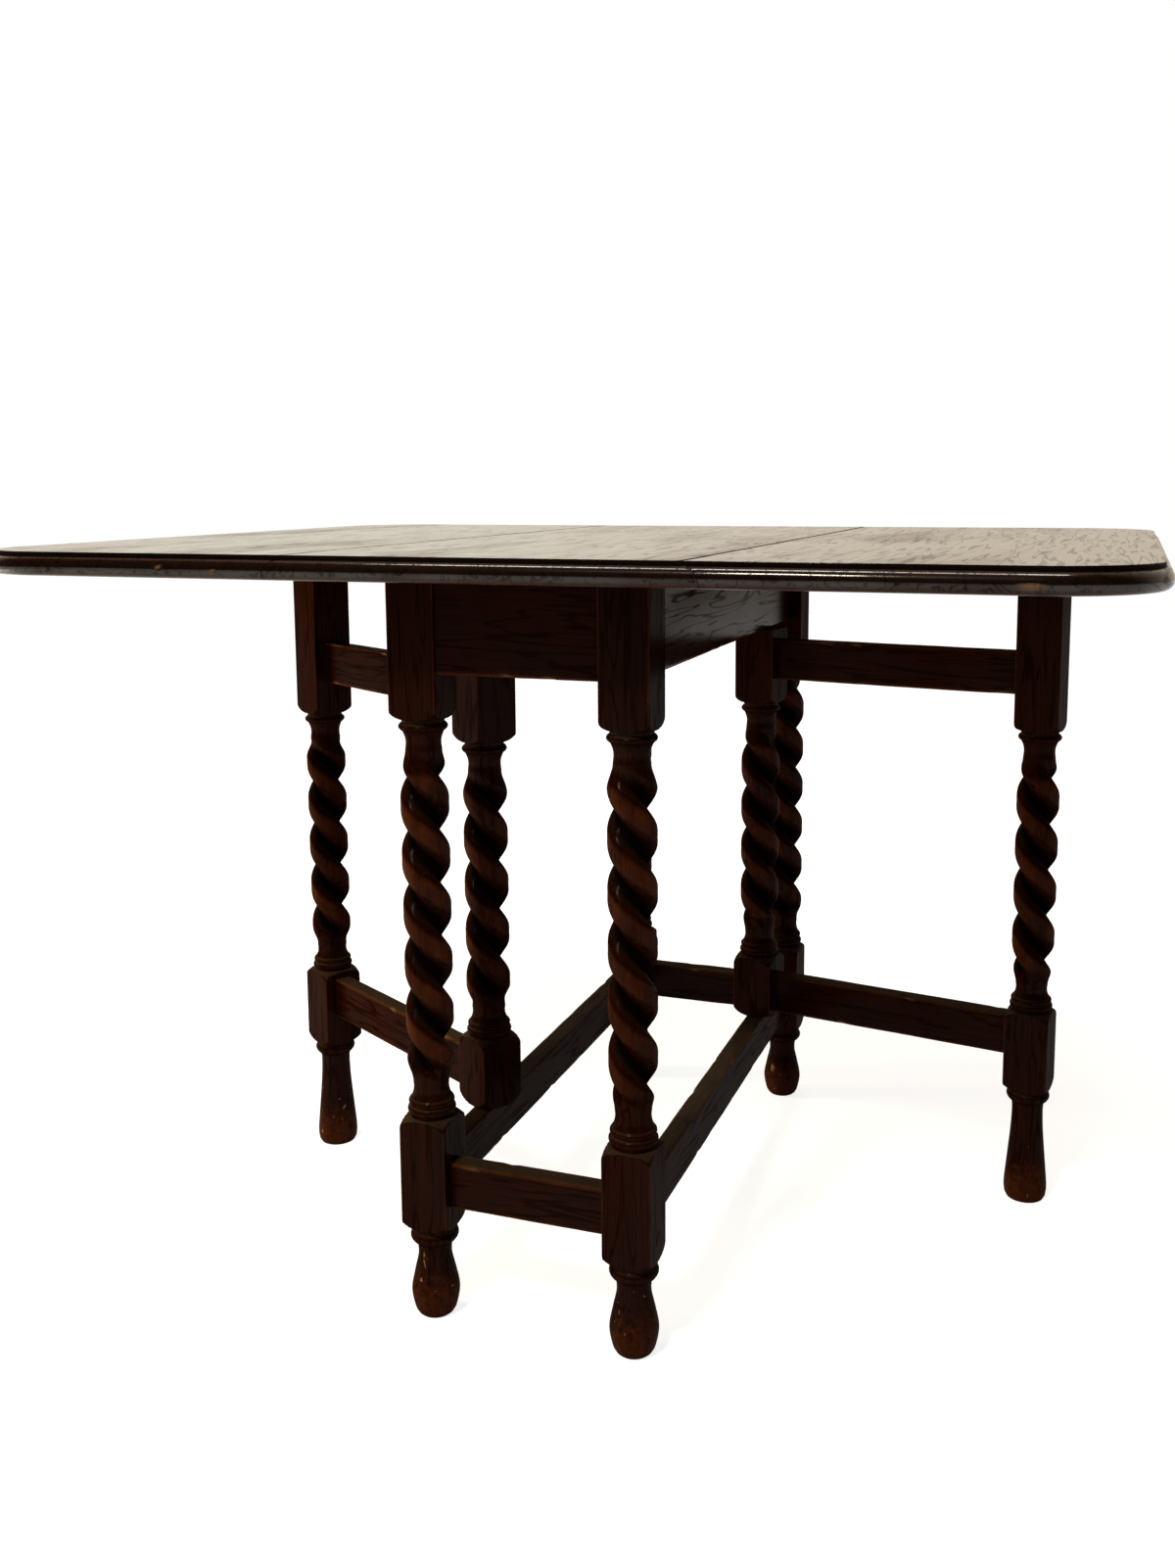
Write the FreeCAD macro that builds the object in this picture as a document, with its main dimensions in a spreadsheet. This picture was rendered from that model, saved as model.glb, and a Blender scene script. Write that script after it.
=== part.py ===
import FreeCAD, Part
import math
import os
import re

import Sketcher

doc = FreeCAD.newDocument("gateleg_table")
Vec = FreeCAD.Vector
UP = Vec(0, 0, 1)
# How near counts as equal, as a share of the size at hand
CLOSE_SHARE = 1e-4

# Driving sizes, in millimetres and degrees
SIZES = (
    # The top, open, with its rule joints
    ("top_height", 740),
    ("top_thickness", 22),
    ("top_half_width", 540),
    ("top_half_length", 418),
    ("corner_radius", 95),
    ("edge_fillet_height", 4),
    ("edge_fillet_setback", 6.5),
    ("edge_round_above", 9),
    ("edge_round_below", 8),
    ("joint_half_width", 180),
    ("rule_fillet_height", 4),
    ("rule_gap", 0.6),
    # The standing frame
    ("leg_half_span", 102),
    ("end_overhang", 91.5),
    ("block_side", 47),
    ("apron_depth", 89),
    ("apron_thickness", 20),
    ("side_apron_inset", 15),
    ("end_apron_inset", 3.5),
    ("stretcher_bottom", 114),
    ("stretcher_height", 44),
    ("stretcher_thickness", 21),
    ("edge_break", 1.2),
    # Mortise and tenon joints
    ("tenon_thickness", 8),
    ("tenon_length", 16),
    ("tenon_shoulder", 6),
    ("mortise_play", 0.1),
    ("mortise_depth_play", 0.5),
    # The two gates
    ("pivot_setback", 133),
    ("gate_reach", 326),
    ("left_gate_angle", 60),
    ("right_gate_angle", 81),
    ("gate_stop_angle", 86),
    ("gate_play", 0.3),
    ("rail_thickness", 19),
    ("upper_rail_drop", 12),
    ("upper_rail_height", 47),
    ("lower_rail_rise", 7),
    ("lower_rail_height", 46),
    ("pivot_radius", 5),
    ("pivot_reach", 24),
    ("pivot_root", 26),
    ("pivot_play", 0.06),
    ("pivot_end_play", 0.4),
    # Standing legs: how far the square blocks run past the boards they hold, and the turned collars
    ("block_below_stretcher", 23),
    ("block_above_stretcher", 44),
    ("block_below_apron", 43.5),
    ("lower_collar", 34),
    ("upper_collar", 29.5),
    # Gate legs: the same
    ("gate_block_below_rail", 37),
    ("gate_block_above_rail", 8),
    ("gate_block_below_upper_rail", 38),
    ("gate_lower_collar", 29),
    ("gate_upper_collar", 30),
    # Pivot stiles: the same
    ("stile_block_above_rail", 21),
    ("stile_block_below_upper_rail", 29),
    ("stile_lower_collar", 30),
    ("stile_upper_collar", 30),
    # Turned shoulders and twist
    ("shoulder_height", 9),
    ("stile_shoulder_height", 12),
    ("twist_lead", 102),
    ("twist_fade", 24),
    ("twist_root", 4),
    # Table hinges
    ("hinge_offset", 255),
    ("hinge_length", 52),
    ("hinge_axis_height", 3),
    ("hinge_short_flap", 28),
    ("hinge_long_flap", 46),
    ("flap_thickness", 2),
    ("flap_play", 0.4),
    ("flap_lift", 0.8),
    ("knuckle_play", 0.2),
    ("hinge_pin_radius", 1.2),
    ("hinge_pin_play", 0.05),
    # Screws
    ("screw_radius", 1.7),
    ("screw_head_radius", 3.4),
    ("screw_head_height", 1.7),
    ("screw_play", 0.05),
    ("hinge_screw_length", 14),
    ("hinge_screw_pitch", 17),
    ("short_flap_screw", 17),
    ("long_flap_screw", 34),
    ("stop_screw_length", 22),
    ("top_screw_length", 38),
    # Hidden blocks
    ("glue_block_side", 25),
    ("glue_block_length", 60),
    ("glue_block_offset", 110),
    ("stop_length", 50),
    ("stop_width", 18),
    ("stop_height", 12),
    ("stop_screw_pitch", 30),
    # Overrun of every cutting shape past the wood it cuts
    ("overrun", 3),
)

# Places that follow from the driving sizes
DERIVED = (
    ("top_under", "top_height - top_thickness"),
    ("block_half", "block_side / 2"),
    ("leg_half_length", "top_half_length - end_overhang - block_half"),
    ("pivot_offset", "leg_half_length - pivot_setback"),
    ("apron_bottom", "top_under - apron_depth"),
    ("stretcher_top", "stretcher_bottom + stretcher_height"),
    ("upper_rail_top", "apron_bottom - upper_rail_drop"),
    ("upper_rail_bottom", "upper_rail_top - upper_rail_height"),
    ("lower_rail_bottom", "stretcher_top + lower_rail_rise"),
    ("lower_rail_top", "lower_rail_bottom + lower_rail_height"),
    ("foot_top", "stretcher_bottom - block_below_stretcher"),
    ("lower_block_top", "stretcher_top + block_above_stretcher"),
    ("twist_start", "lower_block_top + lower_collar"),
    ("upper_block_bottom", "apron_bottom - block_below_apron"),
    ("twist_end", "upper_block_bottom - upper_collar"),
    ("gate_foot_top", "lower_rail_bottom - gate_block_below_rail"),
    ("gate_block_top", "lower_rail_top + gate_block_above_rail"),
    ("gate_twist_start", "gate_block_top + gate_lower_collar"),
    ("gate_upper_bottom", "upper_rail_bottom - gate_block_below_upper_rail"),
    ("gate_twist_end", "gate_upper_bottom - gate_upper_collar"),
    ("stile_block_top", "lower_rail_top + stile_block_above_rail"),
    ("stile_twist_start", "stile_block_top + stile_lower_collar"),
    ("stile_upper_bottom", "upper_rail_bottom - stile_block_below_upper_rail"),
    ("stile_twist_end", "stile_upper_bottom - stile_upper_collar"),
    ("hinge_level", "top_under + hinge_axis_height"),
    ("rule_radius", "top_height - rule_fillet_height - hinge_level"),
    ("knuckle_radius", "hinge_axis_height"),
    ("side_apron_outside", "leg_half_span + block_half - side_apron_inset"),
    ("side_apron_inside", "side_apron_outside - apron_thickness"),
    ("end_apron_outside", "leg_half_length + block_half - end_apron_inset"),
    ("end_apron_inside", "end_apron_outside - apron_thickness"),
    ("side_clear", "leg_half_length - block_half"),
    ("end_clear", "leg_half_span - block_half"),
    ("gate_leg_top", "top_under - gate_play"),
    ("stile_bottom", "stretcher_top + gate_play"),
    ("stile_top", "apron_bottom - gate_play"),
    ("rail_end", "gate_reach - block_half"),
    ("stop_inner", "block_half + gate_play"),
)

sheet = doc.addObject("Spreadsheet::Sheet", "sizes")
NAMES = [name for name, _ in SIZES + DERIVED]
for row, (name, value) in enumerate(SIZES + DERIVED, 1):
    sheet.set("A%d" % row, name)
    sheet.set("B%d" % row, str(value) if (name, value) in SIZES else "=" + value)
    sheet.setAlias("B%d" % row, name)
doc.recompute()


def size(name):
    """The present value of one named size."""
    return float(sheet.get(name))


def linked(text):
    """An expression in named sizes, pointed at the sheet."""
    return re.sub(r"[a-z_]+", lambda m: "sizes." + m.group(0) if m.group(0) in NAMES else m.group(0), text)


def bind(obj, *pairs):
    """Tie properties of an object to expressions in named sizes."""
    for path, text in pairs:
        obj.setExpression(path, linked(text))


def place(obj, x="0", y="0", z="0", turn=None):
    """Put an object at a place, and turned about the vertical, by named sizes."""
    if turn is not None:
        obj.Placement = FreeCAD.Placement(Vec(0, 0, 0), FreeCAD.Rotation(UP, 1))
        obj.setExpression("Placement.Rotation.Angle", "(" + linked(turn) + ") * 1 deg")
    bind(obj, ("Placement.Base.x", x), ("Placement.Base.y", y), ("Placement.Base.z", z))
    return obj


def box(name, low, high):
    """A straight block between two opposite corners, each three expressions."""
    obj = doc.addObject("Part::Box", name)
    for prop, a, b in zip(("Length", "Width", "Height"), low, high):
        bind(obj, (prop, "(%s) - (%s)" % (b, a)))
    return place(obj, *low)


def rod(name, radius, low, high, x="0", y="0"):
    """An upright round rod from one level to another."""
    obj = doc.addObject("Part::Cylinder", name)
    bind(obj, ("Radius", radius), ("Height", "(%s) - (%s)" % (high, low)))
    return place(obj, x, y, low)


def fused(name, shapes):
    """Several shapes joined into one."""
    obj = doc.addObject("Part::MultiFuse", name)
    obj.Shapes = shapes
    obj.Refine = True
    return obj


def cut(name, base, tools):
    """One shape less several others."""
    obj = doc.addObject("Part::Cut", name)
    obj.Base = base
    obj.Tool = tools[0] if len(tools) == 1 else fused(name + "_tools", tools)
    obj.Refine = True
    return obj


def common(name, base, tool):
    """The part of one shape that lies inside another."""
    obj = doc.addObject("Part::Common", name)
    obj.Base = base
    obj.Tool = tool
    obj.Refine = True
    return obj


def eased(name, blank, axis):
    """A board with its four long edges taken off."""
    doc.recompute()
    obj = doc.addObject("Part::Chamfer", name)
    obj.Base = blank
    ease = size("edge_break")
    rows = []
    for number, edge in enumerate(blank.Shape.Edges, 1):
        if abs(edge.tangentAt(edge.FirstParameter).dot(axis)) > 1 - CLOSE_SHARE:
            rows.append((number, ease, ease))
    obj.Edges = rows
    return obj


def group(name, shapes):
    """Identical small pieces kept as separate solids under one name."""
    obj = doc.addObject("Part::Compound", name)
    obj.Links = shapes
    return obj


def origin_plane(body, role):
    """One of the body's own origin planes."""
    return [part for part in body.Origin.OriginFeatures if part.Role == role][0]


def sketch_on(body, role, name):
    """An empty sketch on one of the body's own planes."""
    sketch = body.newObject("Sketcher::SketchObject", name)
    sketch.AttachmentSupport = [(origin_plane(body, role), "")]
    sketch.MapMode = "FlatFace"
    return sketch


# Shape of the rounded outline, one line and one corner arc after the other
def rounded_outline(sketch, half_x, half_y, radius):
    """A rectangle with rounded corners, held by its half sizes and its corner radius."""
    doc.recompute()
    a = sketch_value(half_x)
    b = sketch_value(half_y)
    r = sketch_value(radius)
    runs = (
        (Vec(r - a, -b), Vec(a - r, -b), Vec(a - r, r - b), -90),
        (Vec(a, r - b), Vec(a, b - r), Vec(a - r, b - r), 0),
        (Vec(a - r, b), Vec(r - a, b), Vec(r - a, b - r), 90),
        (Vec(-a, b - r), Vec(-a, r - b), Vec(r - a, r - b), 180),
    )
    for start, end, centre, turn in runs:
        sketch.addGeometry(Part.LineSegment(start, end), False)
        circle = Part.Circle(centre, UP, r)
        sketch.addGeometry(Part.ArcOfCircle(circle, math.radians(turn), math.radians(turn + 90)), False)
    lines = (0, 2, 4, 6)
    arcs = (1, 3, 5, 7)
    for line, arc in zip(lines, arcs):
        sketch.addConstraint(Sketcher.Constraint("Tangent", line, 2, arc, 1))
    for arc, line in zip(arcs, lines[1:] + lines[:1]):
        sketch.addConstraint(Sketcher.Constraint("Tangent", arc, 2, line, 1))
    for line, kind in zip(lines, ("Horizontal", "Vertical", "Horizontal", "Vertical")):
        sketch.addConstraint(Sketcher.Constraint(kind, line))
    for arc in arcs[1:]:
        sketch.addConstraint(Sketcher.Constraint("Equal", arcs[0], arc))
    held = (
        ("DistanceY", lines[0], 1, -1, 1, b, half_y),
        ("DistanceX", -1, 1, lines[1], 1, a, half_x),
        ("DistanceY", -1, 1, lines[2], 1, b, half_y),
        ("DistanceX", lines[3], 1, -1, 1, a, half_x),
    )
    for kind, one, one_end, two, two_end, value, text in held:
        index = sketch.addConstraint(Sketcher.Constraint(kind, one, one_end, two, two_end, value))
        sketch.setExpression("Constraints[%d]" % index, linked(text))
    index = sketch.addConstraint(Sketcher.Constraint("Radius", arcs[0], r))
    sketch.setExpression("Constraints[%d]" % index, linked(radius))


def sketch_value(text):
    """The number that an expression in named sizes stands for."""
    total = 0.0
    sign = 1
    for word in text.split():
        if word == "-":
            sign = -1
        elif word == "+":
            sign = 1
        else:
            total += sign * size(word)
    return total


# The moulded slab that all three boards of the top are cut from
slab = doc.addObject("PartDesign::Body", "top_slab")
lower_outline = sketch_on(slab, "XY_Plane", "top_outline")
rounded_outline(lower_outline, "top_half_width", "top_half_length", "corner_radius")
doc.recompute()
lower_pad = slab.newObject("PartDesign::Pad", "top_ovolo_pad")
lower_pad.Profile = lower_outline
bind(lower_pad, ("Length", "top_thickness - edge_fillet_height"))
doc.recompute()


def rim_edges(shape, level):
    """Names of the edges that run round the outline at one level."""
    near = size("overrun") * CLOSE_SHARE
    found = []
    for number, edge in enumerate(shape.Edges, 1):
        if abs(edge.BoundBox.ZMin - level) + abs(edge.BoundBox.ZMax - level) < near:
            found.append("Edge%d" % number)
    return found


upper_round = slab.newObject("PartDesign::Fillet", "top_edge_round_above")
ovolo_height = size("top_thickness") - size("edge_fillet_height")
upper_round.Base = (lower_pad, rim_edges(lower_pad.Shape, ovolo_height))
bind(upper_round, ("Radius", "edge_round_above"))
doc.recompute()
lower_round = slab.newObject("PartDesign::Fillet", "top_edge_round_below")
lower_round.Base = (upper_round, rim_edges(upper_round.Shape, 0))
bind(lower_round, ("Radius", "edge_round_below"))
doc.recompute()
upper_outline = sketch_on(slab, "XY_Plane", "top_fillet_outline")
bind(upper_outline, ("AttachmentOffset.Base.z", "top_thickness - edge_fillet_height"))
rounded_outline(upper_outline, "top_half_width - edge_fillet_setback",
                "top_half_length - edge_fillet_setback", "corner_radius - edge_fillet_setback")
doc.recompute()
upper_pad = slab.newObject("PartDesign::Pad", "top_fillet_pad")
upper_pad.Profile = upper_outline
bind(upper_pad, ("Length", "edge_fillet_height"))
place(slab, z="top_under")
doc.recompute()


# Rule joint sections, drawn across the table and run along the joint
def joint_section(name, draw):
    """A long prism along the joint whose section is drawn by the given function."""
    body = doc.addObject("PartDesign::Body", name)
    sketch = sketch_on(body, "XZ_Plane", name + "_section")
    draw(sketch)
    doc.recompute()
    pad = body.newObject("PartDesign::Pad", name + "_pad")
    pad.Profile = sketch
    pad.SideType = "Symmetric"
    bind(pad, ("Length", "2 * (top_half_length + overrun)"))
    return body


def rule_arc(side, radius, setback):
    """The quarter round of a rule joint, its upper end first."""
    axis = Vec(side * size("joint_half_width"), size("hinge_level"))
    rise = math.sqrt(radius ** 2 - setback ** 2)
    lean = math.asin(setback / radius)
    half = (lean + math.pi / 2) / 2
    top = axis + Vec(side * setback, rise)
    middle = axis + Vec(side * radius * math.sin(half), radius * math.cos(half))
    foot = axis + Vec(side * radius, 0)
    return top, middle, foot


def board_section(sketch):
    """Middle board: a small square step, then a convex quarter round on each side."""
    above = size("top_height") + size("overrun")
    below = size("top_under") - size("overrun")
    sides = {}
    for side in (-1, 1):
        sides[side] = rule_arc(side, size("rule_radius"), 0)
        top, middle, foot = sides[side]
        sketch.addGeometry(Part.Arc(top, middle, foot), False)
        sketch.addGeometry(Part.LineSegment(Vec(top.x, above), top), False)
        sketch.addGeometry(Part.LineSegment(foot, Vec(foot.x, below)), False)
    sketch.addGeometry(Part.LineSegment(Vec(sides[-1][0].x, above), Vec(sides[1][0].x, above)), False)
    sketch.addGeometry(Part.LineSegment(Vec(sides[-1][2].x, below), Vec(sides[1][2].x, below)), False)


def leaf_section(side):
    """Leaf: the matching hollow, a little larger, and a plain outer end past the moulding."""
    def draw(sketch):
        above = size("top_height") + size("overrun")
        below = size("top_under") - size("overrun")
        outer = side * (size("top_half_width") + size("overrun"))
        gap = size("rule_gap")
        top, middle, foot = rule_arc(side, size("rule_radius") + gap, gap)
        sketch.addGeometry(Part.Arc(top, middle, foot), False)
        ring = (foot, Vec(foot.x, below), Vec(outer, below), Vec(outer, above), Vec(top.x, above), top)
        for a, b in zip(ring, ring[1:]):
            sketch.addGeometry(Part.LineSegment(a, b), False)
    return draw


SIDES = (("left", -1), ("right", 1))
HINGE_PLACES = ("-hinge_offset", "hinge_offset")
SCREW_PLACES = ("-hinge_screw_pitch", "0", "hinge_screw_pitch")


def screw(name, length, x, y, level):
    """A countersunk screw driven upward, its head flush at the given level."""
    head = doc.addObject("Part::Cone", name + "_head")
    bind(head, ("Radius1", "screw_head_radius"), ("Radius2", "screw_radius"), ("Height", "screw_head_height"))
    place(head, x, y, level)
    shank = rod(name + "_shank", "screw_radius", level, "%s + %s" % (level, length), x, y)
    return fused(name, [head, shank])


def screw_hole(name, length, x, y, level):
    """The pilot hole of such a screw."""
    top = "%s + %s + screw_play" % (level, length)
    return rod(name, "screw_radius + screw_play", "%s - overrun" % level, top, x, y)


def countersink(name, x, y, level):
    """The funnel that the screw head lies in, a hair wider than the head."""
    sink = doc.addObject("Part::Cone", name)
    bind(sink, ("Radius1", "screw_head_radius + screw_play"), ("Radius2", "screw_radius + screw_play"),
         ("Height", "screw_head_height"))
    return place(sink, x, y, level)


def lying_rod(name, radius, x, low, high, level):
    """A round rod along the joint."""
    obj = doc.addObject("Part::Cylinder", name)
    bind(obj, ("Radius", radius), ("Height", "(%s) - (%s)" % (high, low)))
    obj.Placement = FreeCAD.Placement(Vec(0, 0, 0), FreeCAD.Rotation(Vec(1, 0, 0), -90))
    bind(obj, ("Placement.Base.x", x), ("Placement.Base.y", low), ("Placement.Base.z", level))
    return obj


def span(side, near, far):
    """Low and high bounds of a strip beside the hinge line, on the given side of the table."""
    if side > 0:
        return "joint_half_width + %s" % near, "joint_half_width + %s" % far
    return "-joint_half_width - (%s)" % far, "-joint_half_width - (%s)" % near


# Table hinges: short flap under the middle board, long flap under the leaf, pin on the joint axis
board_cuts = []
leaf_cuts = {-1: [], 1: []}
for word, side in SIDES:
    short_flaps = []
    long_flaps = []
    pins = []
    short_screws = []
    long_screws = []
    axis = "%d * joint_half_width" % side
    for hinge, centre in enumerate(HINGE_PLACES):
        tag = "%s_hinge_%d" % (word, hinge)
        low = "%s - hinge_length / 2" % centre
        high = "%s + hinge_length / 2" % centre
        half_third = "hinge_length / 6"
        near_third = "%s - %s" % (centre, half_third)
        far_third = "%s + %s" % (centre, half_third)
        short_low, short_high = span(side, "-hinge_short_flap", "0")
        long_low, long_high = span(side, "0", "hinge_long_flap")
        well_low, well_high = span(side, "-knuckle_radius - flap_play", "knuckle_radius + flap_play")
        under = "top_under"
        over = "top_under + flap_thickness"
        deep = "top_under - overrun"
        # Short flap with the two outer knuckles
        short_plate = box(tag + "_short_plate", (short_low, low, under), (short_high, high, over))
        short_knuckles = [
            lying_rod(tag + "_knuckle_near", "knuckle_radius", axis, low,
                      near_third + " - knuckle_play", "hinge_level"),
            lying_rod(tag + "_knuckle_far", "knuckle_radius", axis,
                      far_third + " + knuckle_play", high, "hinge_level"),
        ]
        short_body = fused(tag + "_short_body", [short_plate] + short_knuckles)
        notch = box(tag + "_short_notch", (well_low, near_third + " - knuckle_play", deep),
                    (well_high, far_third + " + knuckle_play", over + " + overrun"))
        bore = lying_rod(tag + "_short_bore", "hinge_pin_radius + hinge_pin_play", axis,
                         low + " - overrun", high + " + overrun", "hinge_level")
        tools = [notch, bore]
        for number, shift in enumerate(SCREW_PLACES):
            x = "%d * (joint_half_width - short_flap_screw)" % side
            y = "%s + %s" % (centre, shift)
            spot = "%s_short_%d" % (tag, number)
            tools.append(countersink(spot + "_sink", x, y, under))
            tools.append(screw_hole(spot + "_clear", "hinge_screw_length", x, y, under))
            board_cuts.append(screw_hole(spot + "_pilot", "hinge_screw_length", x, y, under))
            short_screws.append(screw(spot + "_screw", "hinge_screw_length", x, y, under))
        short_flaps.append(cut(tag + "_short_flap", short_body, tools))
        # Long flap with the middle knuckle
        long_plate = box(tag + "_long_plate", (long_low, low, under), (long_high, high, over))
        middle = lying_rod(tag + "_knuckle_middle", "knuckle_radius", axis, near_third, far_third, "hinge_level")
        long_body = fused(tag + "_long_body", [long_plate, middle])
        bore = lying_rod(tag + "_long_bore", "hinge_pin_radius + hinge_pin_play", axis,
                         low + " - overrun", high + " + overrun", "hinge_level")
        tools = [
            box(tag + "_long_notch_near", (well_low, low + " - overrun", deep),
                (well_high, near_third, over + " + overrun")),
            box(tag + "_long_notch_far", (well_low, far_third, deep),
                (well_high, high + " + overrun", over + " + overrun")),
            bore,
        ]
        for number, shift in enumerate(SCREW_PLACES):
            x = "%d * (joint_half_width + long_flap_screw)" % side
            y = "%s + %s" % (centre, shift)
            spot = "%s_long_%d" % (tag, number)
            tools.append(countersink(spot + "_sink", x, y, under))
            tools.append(screw_hole(spot + "_clear", "hinge_screw_length", x, y, under))
            leaf_cuts[side].append(screw_hole(spot + "_pilot", "hinge_screw_length", x, y, under))
            long_screws.append(screw(spot + "_screw", "hinge_screw_length", x, y, under))
        long_flaps.append(cut(tag + "_long_flap", long_body, tools))
        pins.append(lying_rod(tag + "_pin", "hinge_pin_radius", axis, low, high, "hinge_level"))
        # Sinkings in the wood
        wide_low = low + " - flap_play"
        wide_high = high + " + flap_play"
        short_low, short_high = span(side, "-hinge_short_flap - flap_play", "0")
        pass_low, pass_high = span(side, "0", "rule_radius + overrun")
        board_cuts.append(box(tag + "_short_sinking", (short_low, wide_low, deep), (short_high, wide_high, over)))
        board_cuts.append(box(tag + "_long_passage", (pass_low, wide_low, deep),
                              (pass_high, wide_high, over + " + flap_lift")))
        board_cuts.append(box(tag + "_knuckle_well", (well_low, wide_low, deep),
                              (well_high, wide_high, "hinge_level + knuckle_radius + flap_play")))
        sink_low, sink_high = span(side, "rule_radius - overrun", "hinge_long_flap + flap_play")
        leaf_cuts[side].append(box(tag + "_long_sinking", (sink_low, wide_low, deep),
                                   (sink_high, wide_high, over)))
    group(word + "_hinge_top_flaps", short_flaps)
    group(word + "_hinge_leaf_flaps", long_flaps)
    group(word + "_hinge_pins", pins)
    group(word + "_hinge_top_screws", short_screws)
    group(word + "_hinge_leaf_screws", long_screws)

# Gate stops under the leaves, set where the open gate meets them
STOP_TURN = {-1: "90 + gate_stop_angle", 1: "gate_stop_angle - 90"}
GATE_TURN = {-1: "90 + left_gate_angle", 1: "right_gate_angle - 90"}


def at_gate(obj, side, turn):
    """Carry a shape from the gate's own axes, pivot at zero, to its place in the table."""
    return place(obj, "%d * leg_half_span" % side, "%d * pivot_offset" % side, "0", turn[side])


for word, side in SIDES:
    stop_low = "top_under - stop_height"
    block = box(word + "_stop_blank", ("gate_reach - stop_length / 2", "stop_inner", stop_low),
                ("gate_reach + stop_length / 2", "stop_inner + stop_width", "top_under"))
    tools = []
    screws = []
    pilots = []
    for number, shift in enumerate(("-stop_screw_pitch / 2", "stop_screw_pitch / 2")):
        spot = "%s_stop_%d" % (word, number)
        x = "gate_reach + %s" % shift
        y = "stop_inner + stop_width / 2"
        tools.append(countersink(spot + "_sink", x, y, stop_low))
        tools.append(screw_hole(spot + "_clear", "stop_screw_length", x, y, stop_low))
        screws.append(screw(spot + "_screw", "stop_screw_length", x, y, stop_low))
        pilots.append(screw_hole(spot + "_pilot", "stop_screw_length", x, y, stop_low))
    at_gate(cut(word + "_gate_stop", block, tools), side, STOP_TURN)
    at_gate(group(word + "_gate_stop_screws", screws), side, STOP_TURN)
    leaf_cuts[side].append(at_gate(fused(word + "_stop_pilots", pilots), side, STOP_TURN))

# Glue blocks behind the aprons, each with a screw up into the middle board
GLUE_ROWS = (
    [("side_%d_%d" % (sx, sy), sx, sy) for sx in (-1, 1) for sy in (-1, 1)]
    + [("end_%d" % sy, 0, sy) for sy in (-1, 1)]
)
glue_blocks = []
top_screws = []
glue_low = "top_under - glue_block_side"
for tag, sx, sy in GLUE_ROWS:
    if sx:
        x = "%d * (side_apron_inside - glue_block_side / 2)" % sx
        y = "%d * glue_block_offset" % sy
        half_x = "glue_block_side / 2"
        half_y = "glue_block_length / 2"
    else:
        x = "0"
        y = "%d * (end_apron_inside - glue_block_side / 2)" % sy
        half_x = "glue_block_length / 2"
        half_y = "glue_block_side / 2"
    blank = box("glue_blank_" + tag, ("%s - %s" % (x, half_x), "%s - %s" % (y, half_y), glue_low),
                ("%s + %s" % (x, half_x), "%s + %s" % (y, half_y), "top_under"))
    tools = [
        countersink("glue_sink_" + tag, x, y, glue_low),
        screw_hole("glue_clear_" + tag, "top_screw_length", x, y, glue_low),
    ]
    glue_blocks.append(cut("glue_block_" + tag, blank, tools))
    top_screws.append(screw("top_screw_" + tag, "top_screw_length", x, y, glue_low))
    board_cuts.append(screw_hole("top_pilot_" + tag, "top_screw_length", x, y, glue_low))
group("glue_blocks", glue_blocks)
group("top_fixing_screws", top_screws)

# The three boards of the top
doc.recompute()
board_blank = common("board_blank", slab, joint_section("board_prism", board_section))
cut("centre_top_board", board_blank, board_cuts)
for word, side in SIDES:
    leaf_blank = common(word + "_leaf_blank", slab, joint_section(word + "_leaf_prism", leaf_section(side)))
    cut(word + "_leaf", leaf_blank, leaf_cuts[side])

# Turned work: heights as shares of a run, radii as shares of half the block side
FOOT_SHARES = ((0.0, 0.66), (0.06, 0.84), (0.26, 0.99), (0.46, 0.86), (0.66, 0.69), (0.80, 0.72))
FOOT_RING_SHARES = ((0.82, 0.84), (0.885, 0.99), (0.95, 0.86))
GATE_FOOT_SHARES = ((0.03, 0.95), (0.12, 0.99), (0.35, 0.88), (0.62, 0.75), (0.80, 0.71), (0.875, 0.74))
GATE_RING_SHARES = ((0.89, 0.84), (0.937, 0.99), (0.98, 0.86))
COLLAR_LOW_SHARES = ((0.05, 0.86), (0.19, 0.98), (0.32, 0.88), (0.33, 0.86), (0.43, 0.93), (0.53, 0.83))
COLLAR_NECK_SHARES = ((0.55, 0.81), (0.70, 0.735), (0.85, 0.71), (1.0, 0.73))
COLLAR_TOP_SHARES = ((0.10, 0.84), (0.24, 0.98), (0.38, 0.84))
VASE_NECK_SHARES = ((0.40, 0.82), (0.58, 0.73), (0.76, 0.70), (1.0, 0.73))
SHOULDER_SHARE = 0.86
CORNER_SHARE = 1.46
SHOULDER_BULGE_SHARE = 0.76
CORE_SHARE = 0.40
FLOOR_RIM_SHARE = 0.86


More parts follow.
